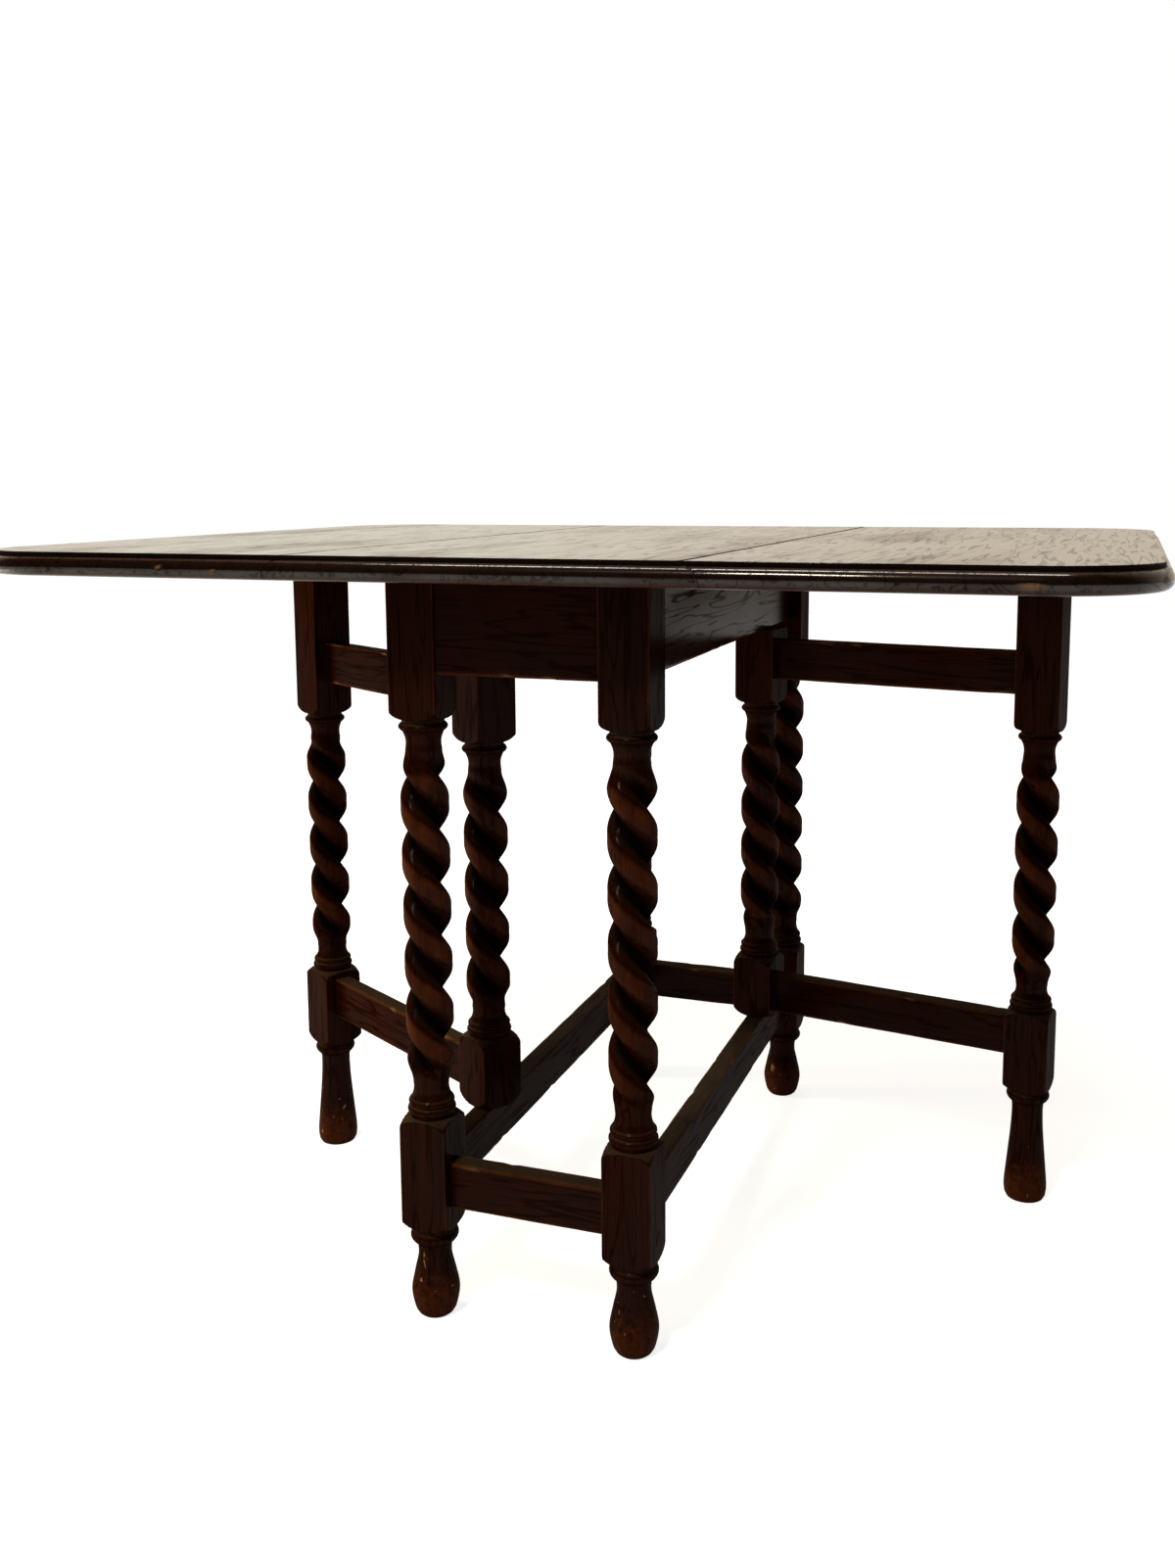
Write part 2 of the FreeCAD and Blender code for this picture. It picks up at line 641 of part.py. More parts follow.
class Turning:
    """The outline of a turned post, drawn upward from the axis."""

    def __init__(self, sketch):
        self.sketch = sketch
        self.half = size("block_half")
        self.start = None
        self.at = None

    def to(self, radius_share, level):
        """A straight line to a radius share at a level."""
        point = Vec(self.half * radius_share, level)
        if self.at is None:
            self.start = point
        else:
            self.sketch.addGeometry(Part.LineSegment(self.at, point), False)
        self.at = point

    def arc(self, middle, end):
        """A round bead through a middle point to an end point."""
        a = Vec(self.half * middle[1], middle[0])
        b = Vec(self.half * end[1], end[0])
        self.sketch.addGeometry(Part.Arc(self.at, a, b), False)
        self.at = b

    def curve(self, rows):
        """A flowing curve through the rows, the first row reached by a straight line."""
        self.to(rows[0][1], rows[0][0])
        points = [Vec(self.half * radius, level) for level, radius in rows]
        spline = Part.BSplineCurve()
        spline.interpolate(points)
        self.sketch.addGeometry(spline, False)
        self.at = points[-1]

    def beads(self, rows):
        """Round beads, each from one row through the next to the one after it."""
        self.to(rows[0][1], rows[0][0])
        for middle, end in zip(rows[1::3], rows[2::3]):
            self.arc(middle, end)
            following = rows.index(end) + 1
            if following < len(rows):
                self.to(rows[following][1], rows[following][0])

    def block(self, low, high, low_shoulder="shoulder_height"):
        """A square block: outline past its corners, with rounded shoulders at the named ends."""
        rise = size("shoulder_height")
        bulge = (SHOULDER_SHARE + CORNER_SHARE) / 2
        if low is not None:
            first = size(low_shoulder)
            self.to(SHOULDER_SHARE, low)
            self.arc((low + first * (1 - SHOULDER_BULGE_SHARE), bulge), (low + first, CORNER_SHARE))
        if high is not None:
            self.to(CORNER_SHARE, high - rise)
            self.arc((high - rise * (1 - SHOULDER_BULGE_SHARE), bulge), (high, SHOULDER_SHARE))

    def close(self):
        """Back to the axis and down it to the start."""
        self.to(0, self.at.y)
        self.sketch.addGeometry(Part.LineSegment(self.at, self.start), False)


def between(low, high, rows):
    """Rows of shares set out between two levels."""
    return [(low + share * (high - low), radius) for share, radius in rows]


def collars_and_core(turning, block_top, twist_low, twist_high, upper_bottom):
    """Bead and neck above the lower block, thin core, then neck and bead under the upper block."""
    turning.beads(between(block_top, twist_low, COLLAR_LOW_SHARES))
    turning.curve(between(block_top, twist_low, COLLAR_NECK_SHARES))
    turning.to(CORE_SHARE, twist_low)
    turning.to(CORE_SHARE, twist_high)
    turning.curve(between(upper_bottom, twist_high, VASE_NECK_SHARES)[::-1])
    turning.beads(between(upper_bottom, twist_high, COLLAR_TOP_SHARES)[::-1])


def draw_standing_leg(sketch):
    """Vase foot, ring, lower block, collars and upper block up to the top."""
    turning = Turning(sketch)
    foot = size("foot_top")
    turning.to(0, 0)
    turning.curve(between(0, foot, FOOT_SHARES))
    turning.beads(between(0, foot, FOOT_RING_SHARES))
    turning.block(foot, size("lower_block_top"))
    collars_and_core(turning, size("lower_block_top"), size("twist_start"), size("twist_end"),
                     size("upper_block_bottom"))
    turning.block(size("upper_block_bottom"), None)
    turning.to(CORNER_SHARE, size("top_under"))
    turning.close()


def draw_gate_leg(sketch):
    """Trumpet foot, ring, lower block, collars and upper block up to the leaf."""
    turning = Turning(sketch)
    foot = size("gate_foot_top")
    turning.to(0, 0)
    turning.to(FLOOR_RIM_SHARE, 0)
    turning.curve(between(0, foot, GATE_FOOT_SHARES))
    turning.beads(between(0, foot, GATE_RING_SHARES))
    turning.block(foot, size("gate_block_top"))
    collars_and_core(turning, size("gate_block_top"), size("gate_twist_start"), size("gate_twist_end"),
                     size("gate_upper_bottom"))
    turning.block(size("gate_upper_bottom"), None)
    turning.to(CORNER_SHARE, size("gate_leg_top"))
    turning.close()


def draw_stile(sketch):
    """Lower block rounded where it stands on the stretcher, collars and upper block under the apron."""
    turning = Turning(sketch)
    turning.to(0, size("stile_bottom"))
    turning.block(size("stile_bottom"), size("stile_block_top"), "stile_shoulder_height")
    collars_and_core(turning, size("stile_block_top"), size("stile_twist_start"), size("stile_twist_end"),
                     size("stile_upper_bottom"))
    turning.block(size("stile_upper_bottom"), None)
    turning.to(CORNER_SHARE, size("stile_top"))
    turning.close()


# The twist: two strands, left-handed, fading into a plain round at both ends
CREST_SHARE = 0.96
GROOVE_SHARE = 0.51
FLANK_SHARE = 0.87
TWIST_END_SHARE = 0.70
SEAM_SHARES = (1e-4, 1e-5, 1e-3)
ROUND_POINTS = 24
TURN_STEPS = 16


def twist_row(level, low, high, turn):
    """One ring of the twist surface's poles; a crest faces the given turn at the lower end."""
    half = size("block_half")
    step = 2 * math.pi * (high - low) / size("twist_lead") / twist_steps(low, high)
    fade = min(1.0, max(0.0, min(level - low, high - level) / size("twist_fade")))
    swell = fade * fade * (3 - 2 * fade)
    mean = (CREST_SHARE + GROOVE_SHARE) / 4 + FLANK_SHARE / 2
    second = (CREST_SHARE - GROOVE_SHARE) / 2
    fourth = (CREST_SHARE + GROOVE_SHARE) / 4 - FLANK_SHARE / 2
    waves = {
        1: TWIST_END_SHARE + swell * (mean - TWIST_END_SHARE),
        3: swell * second / 2,
        -1: swell * second / 2,
        5: swell * fourth / 2,
        -3: swell * fourth / 2,
    }
    lean = math.radians(turn) - 2 * math.pi * (level - low) / size("twist_lead")
    climb = (2 + math.cos(step)) / 3
    row = []
    for number in range(ROUND_POINTS):
        angle = 2 * math.pi * number / ROUND_POINTS
        spot = 0
        for wave, share in waves.items():
            pull = (2 + math.cos(2 * math.pi * wave / ROUND_POINTS)) / 3
            spot += share / pull * complex(math.cos(wave * angle), math.sin(wave * angle))
        spot *= half / climb * complex(math.cos(lean), math.sin(lean))
        row.append(Vec(spot.real, spot.imag, level))
    return row


def twist_steps(low, high):
    """Steps of the twist surface along the post."""
    return round(TURN_STEPS * (high - low) / size("twist_lead"))


def twist_shape(low, high, turn):
    """The whole twist as one smooth skin with flat ends, let a little into the collars."""
    root = size("twist_root")
    steps = twist_steps(low, high)
    run = (high - low) / steps
    levels = [low - root] + [low + run * number for number in range(steps + 1)] + [high + root]
    rows = [twist_row(level, low, high, turn) for level in levels]
    poles = [list(line) for line in zip(*rows)]
    inner = len(levels) - 3
    skin = Part.BSplineSurface()
    skin.buildFromPolesMultsKnots(
        poles, [1] * (ROUND_POINTS + 1), [4] + [1] * (inner - 1) + [4],
        list(range(ROUND_POINTS + 1)), list(range(inner + 1)), True, False, 3, 3)
    side = skin.toShape()
    faces = [side]
    for edge in side.Edges:
        if edge.BoundBox.ZLength < run / 2:
            faces.append(Part.Face(Part.Wire([edge])))
    shell = Part.makeShell(faces)
    shell.sewShape()
    solid = Part.makeSolid(shell)
    solid.fix(*[root * share for share in SEAM_SHARES])
    return solid


def post(name, draw, levels, bottom, top, turn, mortises):
    """A square blank, turned, twisted and mortised, on its own axis."""
    body = doc.addObject("PartDesign::Body", name + "_turning")
    sketch = sketch_on(body, "XZ_Plane", name + "_outline")
    draw(sketch)
    doc.recompute()
    turned = body.newObject("PartDesign::Revolution", name + "_revolution")
    turned.Profile = sketch
    turned.ReferenceAxis = (sketch, ["V_Axis"])
    turned.Angle = 360
    doc.recompute()
    blank = box(name + "_blank", ("-block_half", "-block_half", bottom), ("block_half", "block_half", top))
    squared = common(name + "_squared", body, blank)
    twist = doc.addObject("Part::Feature", name + "_twist")
    twist.Shape = twist_shape(size(levels[0]), size(levels[1]), turn)
    joined = fused(name + "_joined", [squared, twist])
    return cut(name, joined, mortises)


def mortise(name, axis, sign, across, low, high):
    """A mortise from one face of a post towards its axis, the tenon plus its play."""
    deep = "block_half - tenon_length - mortise_depth_play"
    out = "block_half + overrun"
    near, far = (deep, out) if sign > 0 else ("-(%s)" % out, "-(%s)" % deep)
    side_low = "%s - tenon_thickness / 2 - mortise_play" % across
    side_high = "%s + tenon_thickness / 2 + mortise_play" % across
    level_low = "%s + tenon_shoulder - mortise_play" % low
    level_high = "%s - tenon_shoulder + mortise_play" % high
    if axis == "x":
        return box(name, (near, side_low, level_low), (far, side_high, level_high))
    return box(name, (side_low, near, level_low), (side_high, far, level_high))


def tenoned_board(name, axis, reach, across, thickness, low, high):
    """A board between two posts with a tenon at each end, on its own middle or from end to end."""
    start, end = reach
    half = "%s / 2" % thickness
    tongue = "tenon_thickness / 2"
    parts = []
    spans = (
        (start, end, half, low, high),
        ("%s - tenon_length" % start, start, tongue, low + " + tenon_shoulder", high + " - tenon_shoulder"),
        (end, "%s + tenon_length" % end, tongue, low + " + tenon_shoulder", high + " - tenon_shoulder"),
    )
    for number, (a, b, side, bottom, top) in enumerate(spans):
        tag = "%s_run_%d" % (name, number)
        if axis == "x":
            part = box(tag, (a, "%s - %s" % (across, side), bottom), (b, "%s + %s" % (across, side), top))
            along = Vec(1, 0, 0)
        else:
            part = box(tag, ("%s - %s" % (across, side), a, bottom), ("%s + %s" % (across, side), b, top))
            along = Vec(0, 1, 0)
        parts.append(part if number else eased(tag + "_eased", part, along))
    return parts


# Standing legs: sides of the table, and the turn in degrees where each one's twist begins
STANDING = (
    ("leg_near_left", -1, -1, 77),
    ("leg_near_right", 1, -1, 12),
    ("leg_far_left", -1, 1, 40),
    ("leg_far_right", 1, 1, 90),
)
for name, sx, sy, turn in STANDING:
    side_across = "%d * (side_apron_outside - apron_thickness / 2 - leg_half_span)" % sx
    end_across = "%d * (end_apron_outside - apron_thickness / 2 - leg_half_length)" % sy
    mortises = [
        mortise(name + "_side_apron_mortise", "y", -sy, side_across, "apron_bottom", "top_under"),
        mortise(name + "_end_apron_mortise", "x", -sx, end_across, "apron_bottom", "top_under"),
        mortise(name + "_side_stretcher_mortise", "y", -sy, "0", "stretcher_bottom", "stretcher_top"),
        mortise(name + "_end_stretcher_mortise", "x", -sx, "0", "stretcher_bottom", "stretcher_top"),
    ]
    leg = post(name, draw_standing_leg, ("twist_start", "twist_end"), "0", "top_under", turn, mortises)
    place(leg, "%d * leg_half_span" % sx, "%d * leg_half_length" % sy)

# Aprons and stretchers between the standing legs
for word, sy in (("near", -1), ("far", 1)):
    across = "%d * (end_apron_outside - apron_thickness / 2)" % sy
    fused("end_apron_" + word, tenoned_board("end_apron_" + word, "x", ("-end_clear", "end_clear"), across,
                                             "apron_thickness", "apron_bottom", "top_under"))
    fused("end_stretcher_" + word,
          tenoned_board("end_stretcher_" + word, "x", ("-end_clear", "end_clear"),
                        "%d * leg_half_length" % sy, "stretcher_thickness",
                        "stretcher_bottom", "stretcher_top"))
for word, sx in SIDES:
    across = "%d * (side_apron_outside - apron_thickness / 2)" % sx
    spot = ("%d * leg_half_span" % sx, "%d * pivot_offset" % sx)
    hole = "pivot_radius + pivot_play"
    apron_hole = rod("side_apron_%s_bore" % word, hole, "apron_bottom - overrun",
                     "apron_bottom + pivot_reach + pivot_end_play", *spot)
    apron = fused("side_apron_%s_blank" % word,
                  tenoned_board("side_apron_" + word, "y", ("-side_clear", "side_clear"), across,
                                "apron_thickness", "apron_bottom", "top_under"))
    cut("side_apron_" + word, apron, [apron_hole])
    stretcher_hole = rod("side_stretcher_%s_bore" % word, hole,
                         "stretcher_top - pivot_reach - pivot_end_play", "stretcher_top + overrun", *spot)
    stretcher = fused("side_stretcher_%s_blank" % word,
                      tenoned_board("side_stretcher_" + word, "y", ("-side_clear", "side_clear"),
                                    "%d * leg_half_span" % sx, "stretcher_thickness",
                                    "stretcher_bottom", "stretcher_top"))
    cut("side_stretcher_" + word, stretcher, [stretcher_hole])

# Gates: stile, leg, two rails and the pivot pins, drawn along the gate and then swung to place
GATE_TWIST_TURNS = {-1: (143, 150), 1: (20, 19)}
for word, side in SIDES:
    leg_turn, stile_turn = GATE_TWIST_TURNS[side]
    rails = (("upper_rail", "upper_rail_bottom", "upper_rail_top"),
             ("lower_rail", "lower_rail_bottom", "lower_rail_top"))
    leg_mortises = []
    stile_tools = []
    for rail, low, high in rails:
        name = "%s_gate_%s" % (word, rail)
        leg_mortises.append(mortise(name + "_leg_mortise", "x", -1, "0", low, high))
        stile_tools.append(mortise(name + "_stile_mortise", "x", 1, "0", low, high))
        board = fused(name, tenoned_board(name, "x", ("block_half", "rail_end"), "0",
                                          "rail_thickness", low, high))
        at_gate(board, side, GATE_TURN)
    leg = post(word + "_gate_leg_post", draw_gate_leg, ("gate_twist_start", "gate_twist_end"),
               "0", "gate_leg_top", leg_turn, leg_mortises)
    place(leg, "gate_reach")
    at_gate(group(word + "_gate_leg", [leg]), side, GATE_TURN)
    hole = "pivot_radius + pivot_play"
    stile_tools.append(rod(word + "_stile_upper_bore", hole, "stile_top - pivot_root", "stile_top + overrun"))
    stile_tools.append(rod(word + "_stile_lower_bore", hole, "stile_bottom - overrun",
                           "stile_bottom + pivot_root"))
    stile = post(word + "_gate_stile", draw_stile, ("stile_twist_start", "stile_twist_end"),
                 "stile_bottom", "stile_top", stile_turn, stile_tools)
    at_gate(stile, side, GATE_TURN)
    pins = [
        rod(word + "_upper_pin", "pivot_radius", "stile_top - pivot_root", "apron_bottom + pivot_reach"),
        rod(word + "_lower_pin", "pivot_radius", "stretcher_top - pivot_reach", "stile_bottom + pivot_root"),
    ]
    at_gate(group(word + "_gate_pivot_pins", pins), side, GATE_TURN)

doc.recompute()

# Every piece that is handed on
NODES = (
    ["centre_top_board", "left_leaf", "right_leaf"]
    + [row[0] for row in STANDING]
    + ["%s_%s" % (kind, end) for kind in ("end_apron", "end_stretcher") for end in ("near", "far")]
    + ["%s_%s" % (kind, word) for kind in ("side_apron", "side_stretcher") for word, _ in SIDES]
    + ["glue_blocks", "top_fixing_screws"]
    + ["%s_hinge_%s" % (word, kind) for word, _ in SIDES
       for kind in ("top_flaps", "leaf_flaps", "pins", "top_screws", "leaf_screws")]
    + ["%s_gate_%s" % (word, kind) for word, _ in SIDES
       for kind in ("stile", "leg", "upper_rail", "lower_rail", "pivot_pins", "stop", "stop_screws")]
)
for obj in doc.Objects:
    if "Invalid" in obj.State or "Error" in obj.State:
        raise RuntimeError("not rebuilt: " + obj.Label)
os.makedirs("parts", exist_ok=True)
for node in NODES:
    shape = doc.getObject(node).Shape
    if shape.isNull() or not shape.isValid() or not shape.Solids:
        raise RuntimeError("no sound solid: " + node)
    shape.exportStep("parts/%s.step" % node)
    print(node, len(shape.Solids), round(shape.Volume))
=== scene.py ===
import math
import random

import bpy
import numpy as np
from mathutils import Matrix, Vector, noise


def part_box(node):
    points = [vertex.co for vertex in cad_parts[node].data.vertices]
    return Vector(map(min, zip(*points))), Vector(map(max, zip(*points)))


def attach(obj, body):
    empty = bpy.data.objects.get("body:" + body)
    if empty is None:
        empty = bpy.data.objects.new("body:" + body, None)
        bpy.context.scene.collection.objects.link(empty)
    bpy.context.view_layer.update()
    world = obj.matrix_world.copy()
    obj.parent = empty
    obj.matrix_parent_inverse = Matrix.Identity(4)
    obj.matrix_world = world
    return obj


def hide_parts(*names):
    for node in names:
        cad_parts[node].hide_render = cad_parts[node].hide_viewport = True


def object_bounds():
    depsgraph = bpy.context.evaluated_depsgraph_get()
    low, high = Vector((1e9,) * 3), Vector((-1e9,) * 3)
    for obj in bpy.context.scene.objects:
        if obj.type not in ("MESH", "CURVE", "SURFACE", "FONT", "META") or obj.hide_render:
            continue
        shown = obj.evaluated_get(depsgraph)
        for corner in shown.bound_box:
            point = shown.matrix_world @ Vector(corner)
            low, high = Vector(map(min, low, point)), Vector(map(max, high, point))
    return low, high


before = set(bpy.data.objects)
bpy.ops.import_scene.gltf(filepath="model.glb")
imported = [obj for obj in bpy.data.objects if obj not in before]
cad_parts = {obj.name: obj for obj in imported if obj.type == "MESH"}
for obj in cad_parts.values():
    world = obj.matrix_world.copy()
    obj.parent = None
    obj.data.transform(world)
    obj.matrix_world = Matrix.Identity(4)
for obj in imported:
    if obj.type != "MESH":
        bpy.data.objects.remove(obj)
cad_low, cad_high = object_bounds()


# Standing legs
# Four legs turned from square oak blanks 47 mm thick: vase foot, square block for the stretchers,
# beaded collar, a two-strand barley twist cut by hand, collar, and the square block under the top.
class Wire:
    """One socket of a node tree; sums written with wires add Math nodes to that tree."""

    def __init__(self, tree, socket=None):
        self.tree = tree
        self.socket = socket

    def node(self, kind, settings=None, inputs=None, out=0):
        """A new node: its type, its settings, then the values or wires of its sockets."""
        node = self.tree.nodes.new(kind)
        for key, value in (settings or {}).items():
            setattr(node, key, value)
        for key, value in (inputs or {}).items():
            if isinstance(value, Wire):
                self.tree.links.new(value.socket, node.inputs[key])
            else:
                node.inputs[key].default_value = value
        return Wire(self.tree, node.outputs[out] if node.outputs else None)

    def other(self, out):
        """Another output of the same node."""
        return Wire(self.tree, self.socket.node.outputs[out])

    def axis(self, letter):
        """One coordinate of a vector."""
        return self.node("ShaderNodeSeparateXYZ", {}, {"Vector": self}, letter)

    def math(self, operation, *others):
        """A Math node on this wire and the others."""
        wires = dict(enumerate((self,) + others))
        return self.node("ShaderNodeMath", {"operation": operation}, wires)

    def held(self, low=0.0, high=1.0):
        """The value kept between two limits."""
        return self.math("MAXIMUM", low).math("MINIMUM", high)

    def ramp(self, low, high):
        """A soft step from 0 at low to 1 at high."""
        inputs = {"Value": self, "From Min": low, "From Max": high}
        return self.node("ShaderNodeMapRange", {"interpolation_type": "SMOOTHSTEP"}, inputs)

    def __add__(self, other):
        return self.math("ADD", other)

    def __sub__(self, other):
        return self.math("SUBTRACT", other)

    def __mul__(self, other):
        return self.math("MULTIPLY", other)

    def __truediv__(self, other):
        return self.math("DIVIDE", other)

    def __rsub__(self, other):
        flipped = {0: other, 1: self}
        return self.node("ShaderNodeMath", {"operation": "SUBTRACT"}, flipped)

    __radd__ = __add__
    __rmul__ = __mul__


def stain(red, green, blue):
    """A colour as the eye reads it, 0 to 255, turned to light."""
    parts = [level / 255 for level in (red, green, blue)]
    return tuple(p / 12.92 if p < 0.04045 else ((p + 0.055) / 1.055) ** 2.4 for p in parts) + (1.0,)


def blended(factor, one, two):
    """A colour between two colours."""
    return factor.node("ShaderNodeMix", {"data_type": "RGBA"}, {0: factor, 6: one, 7: two}, 2)


def emptied(owner):
    """The empty node tree of a material or a world, ready for wires."""
    owner.use_nodes = True
    owner.node_tree.nodes.clear()
    return Wire(owner.node_tree)


OAK_PORE_AND_SHADE = stain(6, 3, 2)
OAK_DEEP = stain(12, 5, 2)
OAK_RED = stain(51, 18, 5)
OAK_RUBBED = stain(90, 43, 16)
OAK_RAW = stain(156, 116, 74)
OAK_DUST_AND_SHEEN = stain(88, 76, 58)
GRAIN_DEPTH = 0.00035


def oak(name, deep=OAK_DEEP, warm=OAK_RED, rough=0.34, mirror=0.0, coat=0.055, edge_coat=1.0,
        painted_edge_shade=0.0, coat_rough=0.2, relief=1.0, dust_and_sheen_share=0.5, scuffed_below=0.0):
    """Stained and polished oak, its figure read along each piece's own grain."""
    material = bpy.data.materials.new(name)
    wires = emptied(material)
    grain = wires.node("ShaderNodeAttribute", {"attribute_name": "grain"}, out="Vector")
    arris, hollow, chip = [wires.node("ShaderNodeAttribute", {"attribute_name": label}, out="Fac")
                           for label in ("arris", "hollow", "chip")]

    def cloud(along, scale, detail=3.0, rough_share=0.55, distortion=0.0, through=1.0):
        """Noise in the wood, drawn out by a share along the grain and one through the piece."""
        stretch = {0: grain, 1: (along, 1.0, through)}
        drawn = wires.node("ShaderNodeVectorMath", {"operation": "MULTIPLY"}, stretch)
        inputs = {"Vector": drawn, "Scale": scale, "Detail": detail, "Roughness": rough_share,
                  "Distortion": distortion}
        return wires.node("ShaderNodeTexNoise", {}, inputs)

    # The figure, from broad bands and growth rings to pores, streaks of stain, mottling and nicks.
    broad = cloud(0.25, 9.0)
    figure = cloud(0.075, 70.0, 2.0, 0.5, 0.5)
    rings = (figure * 30.0 + broad * 9.0).math("SINE") * 0.5 + 0.5
    lines = rings.ramp(0.8, 1.0)
    pores = cloud(0.02, 780.0, 2.0, 0.6).ramp(0.56, 0.70)
    streaks = cloud(0.035, 260.0, 3.0, 0.6)
    mottle = cloud(0.6, 38.0, 4.0, 0.6)
    nicks = cloud(1.0, 150.0, 4.0, 0.65)

    # The stain, then what darkens it: open grain, painted shade on faces that look sideways, and the
    # hollows.
    tone = (0.9 * streaks + 0.7 * broad + 0.3 * mottle - 0.45).held()
    colour = blended(tone, deep, warm)
    open_grain = (pores * 0.6 + lines * (0.25 + 0.6 * streaks)).held()
    colour = blended(open_grain * 0.8, colour, OAK_PORE_AND_SHADE)
    level = wires.node("ShaderNodeTexCoord", out="Normal").axis("Z")
    under = (0 - level).ramp(0.1, 0.9)
    # Painted shade: faces that look neither up nor down, such as the top's moulded edges, are darkened
    # towards near black.
    colour = blended((painted_edge_shade * (1 - level.ramp(0.7, 0.98) - under)).held(), colour, OAK_PORE_AND_SHADE)
    # Darker deep in the twist's grooves and along the top's joint lines, and painted shade on the top's
    # step.
    colour = blended((hollow * (0.6 + mottle)).ramp(0.25, 0.85) * 0.92, colour, OAK_PORE_AND_SHADE)

    # Wear: rubbed arrises and bare wood in chips and nicks; on what faces up, dust and a painted sheen of
    # light from above.
    rubbed = (arris * (0.35 + 1.1 * mottle)).ramp(0.45, 1.0)
    colour = blended(rubbed * 0.62, colour, OAK_RUBBED)
    bare = (chip * 0.8 + arris * nicks.ramp(0.70, 0.78) * 0.5).held()
    colour = blended(bare * 0.85, colour, OAK_RAW)
    # Dust and painted sheen: faces that look up are made greyer and lighter, partly as dust, partly as
    # light from above.
    dust_and_sheen = (level.ramp(0.45, 0.95) * (0.35 + mottle) * dust_and_sheen_share).held()
    colour = blended(dust_and_sheen, colour, OAK_DUST_AND_SHEEN)
    gloss = rough + 0.16 * mottle + 0.3 * relief * open_grain + 0.22 * bare
    gloss = gloss + 0.3 * dust_and_sheen + 0.5 * hollow - 0.1
    if scuffed_below:
        height = wires.node("ShaderNodeTexCoord", out="Object").axis("Z")
        low = 1 - height.ramp(0.0, scuffed_below)
        scuffs = (low * (0.25 + nicks)).ramp(0.42, 0.78)
        colour = blended(scuffs * 0.55, colour, OAK_RUBBED)
        scrapes = cloud(0.5, 210.0, 1.0, 0.5, 0.8, 0.22).ramp(0.73, 0.76)
        colour = blended((low.ramp(0.1, 0.5) * scrapes).held() * 0.8, colour, OAK_RAW)
        gloss = gloss + 0.25 * scuffs

    # The polish lies in a thin coat that is worn off where the wood is bare, coarse, or under dust and
    # painted sheen.
    lift = 0.5 * streaks - 0.9 * open_grain + 0.6 * mottle - 1.2 * bare
    relieved = {"Strength": 0.5 * relief, "Distance": GRAIN_DEPTH, "Height": lift}
    normal = wires.node("ShaderNodeBump", {}, relieved)
    flat = edge_coat + (1 - edge_coat) * level.ramp(0.85, 0.99)
    worn = bare + 0.6 * dust_and_sheen + hollow + 0.5 * lines + 0.45 * broad.ramp(0.47, 0.66)
    polish = coat * flat * (1 - under) * (1 - worn)
    inputs = {"Base Color": colour, "Roughness": gloss.held(0.12, 0.9), "Normal": normal,
              "Specular IOR Level": mirror, "Coat Weight": polish.held(),
              "Coat Roughness": coat_rough}
    shader = wires.node("ShaderNodeBsdfPrincipled", {}, inputs)
    wires.node("ShaderNodeOutputMaterial", {}, {"Surface": shader})
    return material


SCUFFED_HEIGHT = 0.11
frame_oak = oak("frame_oak", scuffed_below=SCUFFED_HEIGHT)


def middle(node):
    """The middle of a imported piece's box."""
    low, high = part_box(node)
    return (low + high) / 2


def added(name, data):
    """A new object in the scene."""
    thing = bpy.data.objects.new(name, data)
    bpy.context.scene.collection.objects.link(thing)
    return thing


def skin(name, stacks):
    """Closed skins over stacks of rings; each stack gives points, grain, arris, hollow and chip."""
    points = []
    faces = []
    kept = {"grain": [], "arris": [], "hollow": [], "chip": []}
    for stack in stacks:
        rings = stack["points"]
        count, around = rings.shape[:2]
        first = len(points)
        points.extend(rings.reshape(-1, 3).tolist())
        for key, rows in kept.items():
            width = 3 if key == "grain" else 1
            rows.append(stack.get(key, np.zeros((count, around, width))).reshape(-1, width))
        for ring in range(count - 1):
            for step in range(around):
                a = first + ring * around + step
                b = first + ring * around + (step + 1) % around
                faces.append((a, b, b + around, a + around))
        last = first + (count - 1) * around
        faces.append(tuple(range(first + around - 1, first - 1, -1)))
        faces.append(tuple(range(last, last + around)))
    mesh = bpy.data.meshes.new(name)
    mesh.from_pydata(points, [], faces)
    mesh.polygons.foreach_set("use_smooth", [True] * len(faces))
    for key, rows in kept.items():
        kind, field = ("FLOAT_VECTOR", "vector") if key == "grain" else ("FLOAT", "value")
        values = np.concatenate(rows).astype(np.float32)
        mesh.attributes.new(key, kind, "POINT").data.foreach_set(field, values.ravel())
    return added(name, mesh)


BLOCK_HALF = 0.0235
SHOULDER_HEIGHT = 0.009
SHOULDER_SHARE = 0.86
CORNER_SHARE = 1.46
SHOULDER_BULGE_SHARE = 0.76
CENTRE_SHARE = 0.4
FOOT_SHARES = ((0.0, 0.66), (0.06, 0.84), (0.26, 0.99), (0.46, 0.86), (0.66, 0.69), (0.80, 0.72))
FOOT_RING_SHARES = ((0.82, 0.84), (0.885, 0.99), (0.95, 0.86))
COLLAR_LOW_SHARES = ((0.05, 0.86), (0.19, 0.98), (0.32, 0.88), (0.33, 0.86), (0.43, 0.93), (0.53, 0.83))
COLLAR_NECK_SHARES = ((0.55, 0.81), (0.70, 0.735), (0.85, 0.71), (1.0, 0.73))
COLLAR_TOP_SHARES = ((0.10, 0.84), (0.24, 0.98), (0.38, 0.84))
VASE_NECK_SHARES = ((0.40, 0.82), (0.58, 0.73), (0.76, 0.70), (1.0, 0.73))
TWIST_END_SHARE = 0.73
TURN_STEP = 0.0022
BLOCK_STEP = 0.006
BEAD_STEPS = 7
ROUND_POINTS = 96


def between(low, high, shares):
    """Rows of shares set out between two levels, as level and radius."""
    return [(low + share * (high - low), radius * BLOCK_HALF) for share, radius in shares]


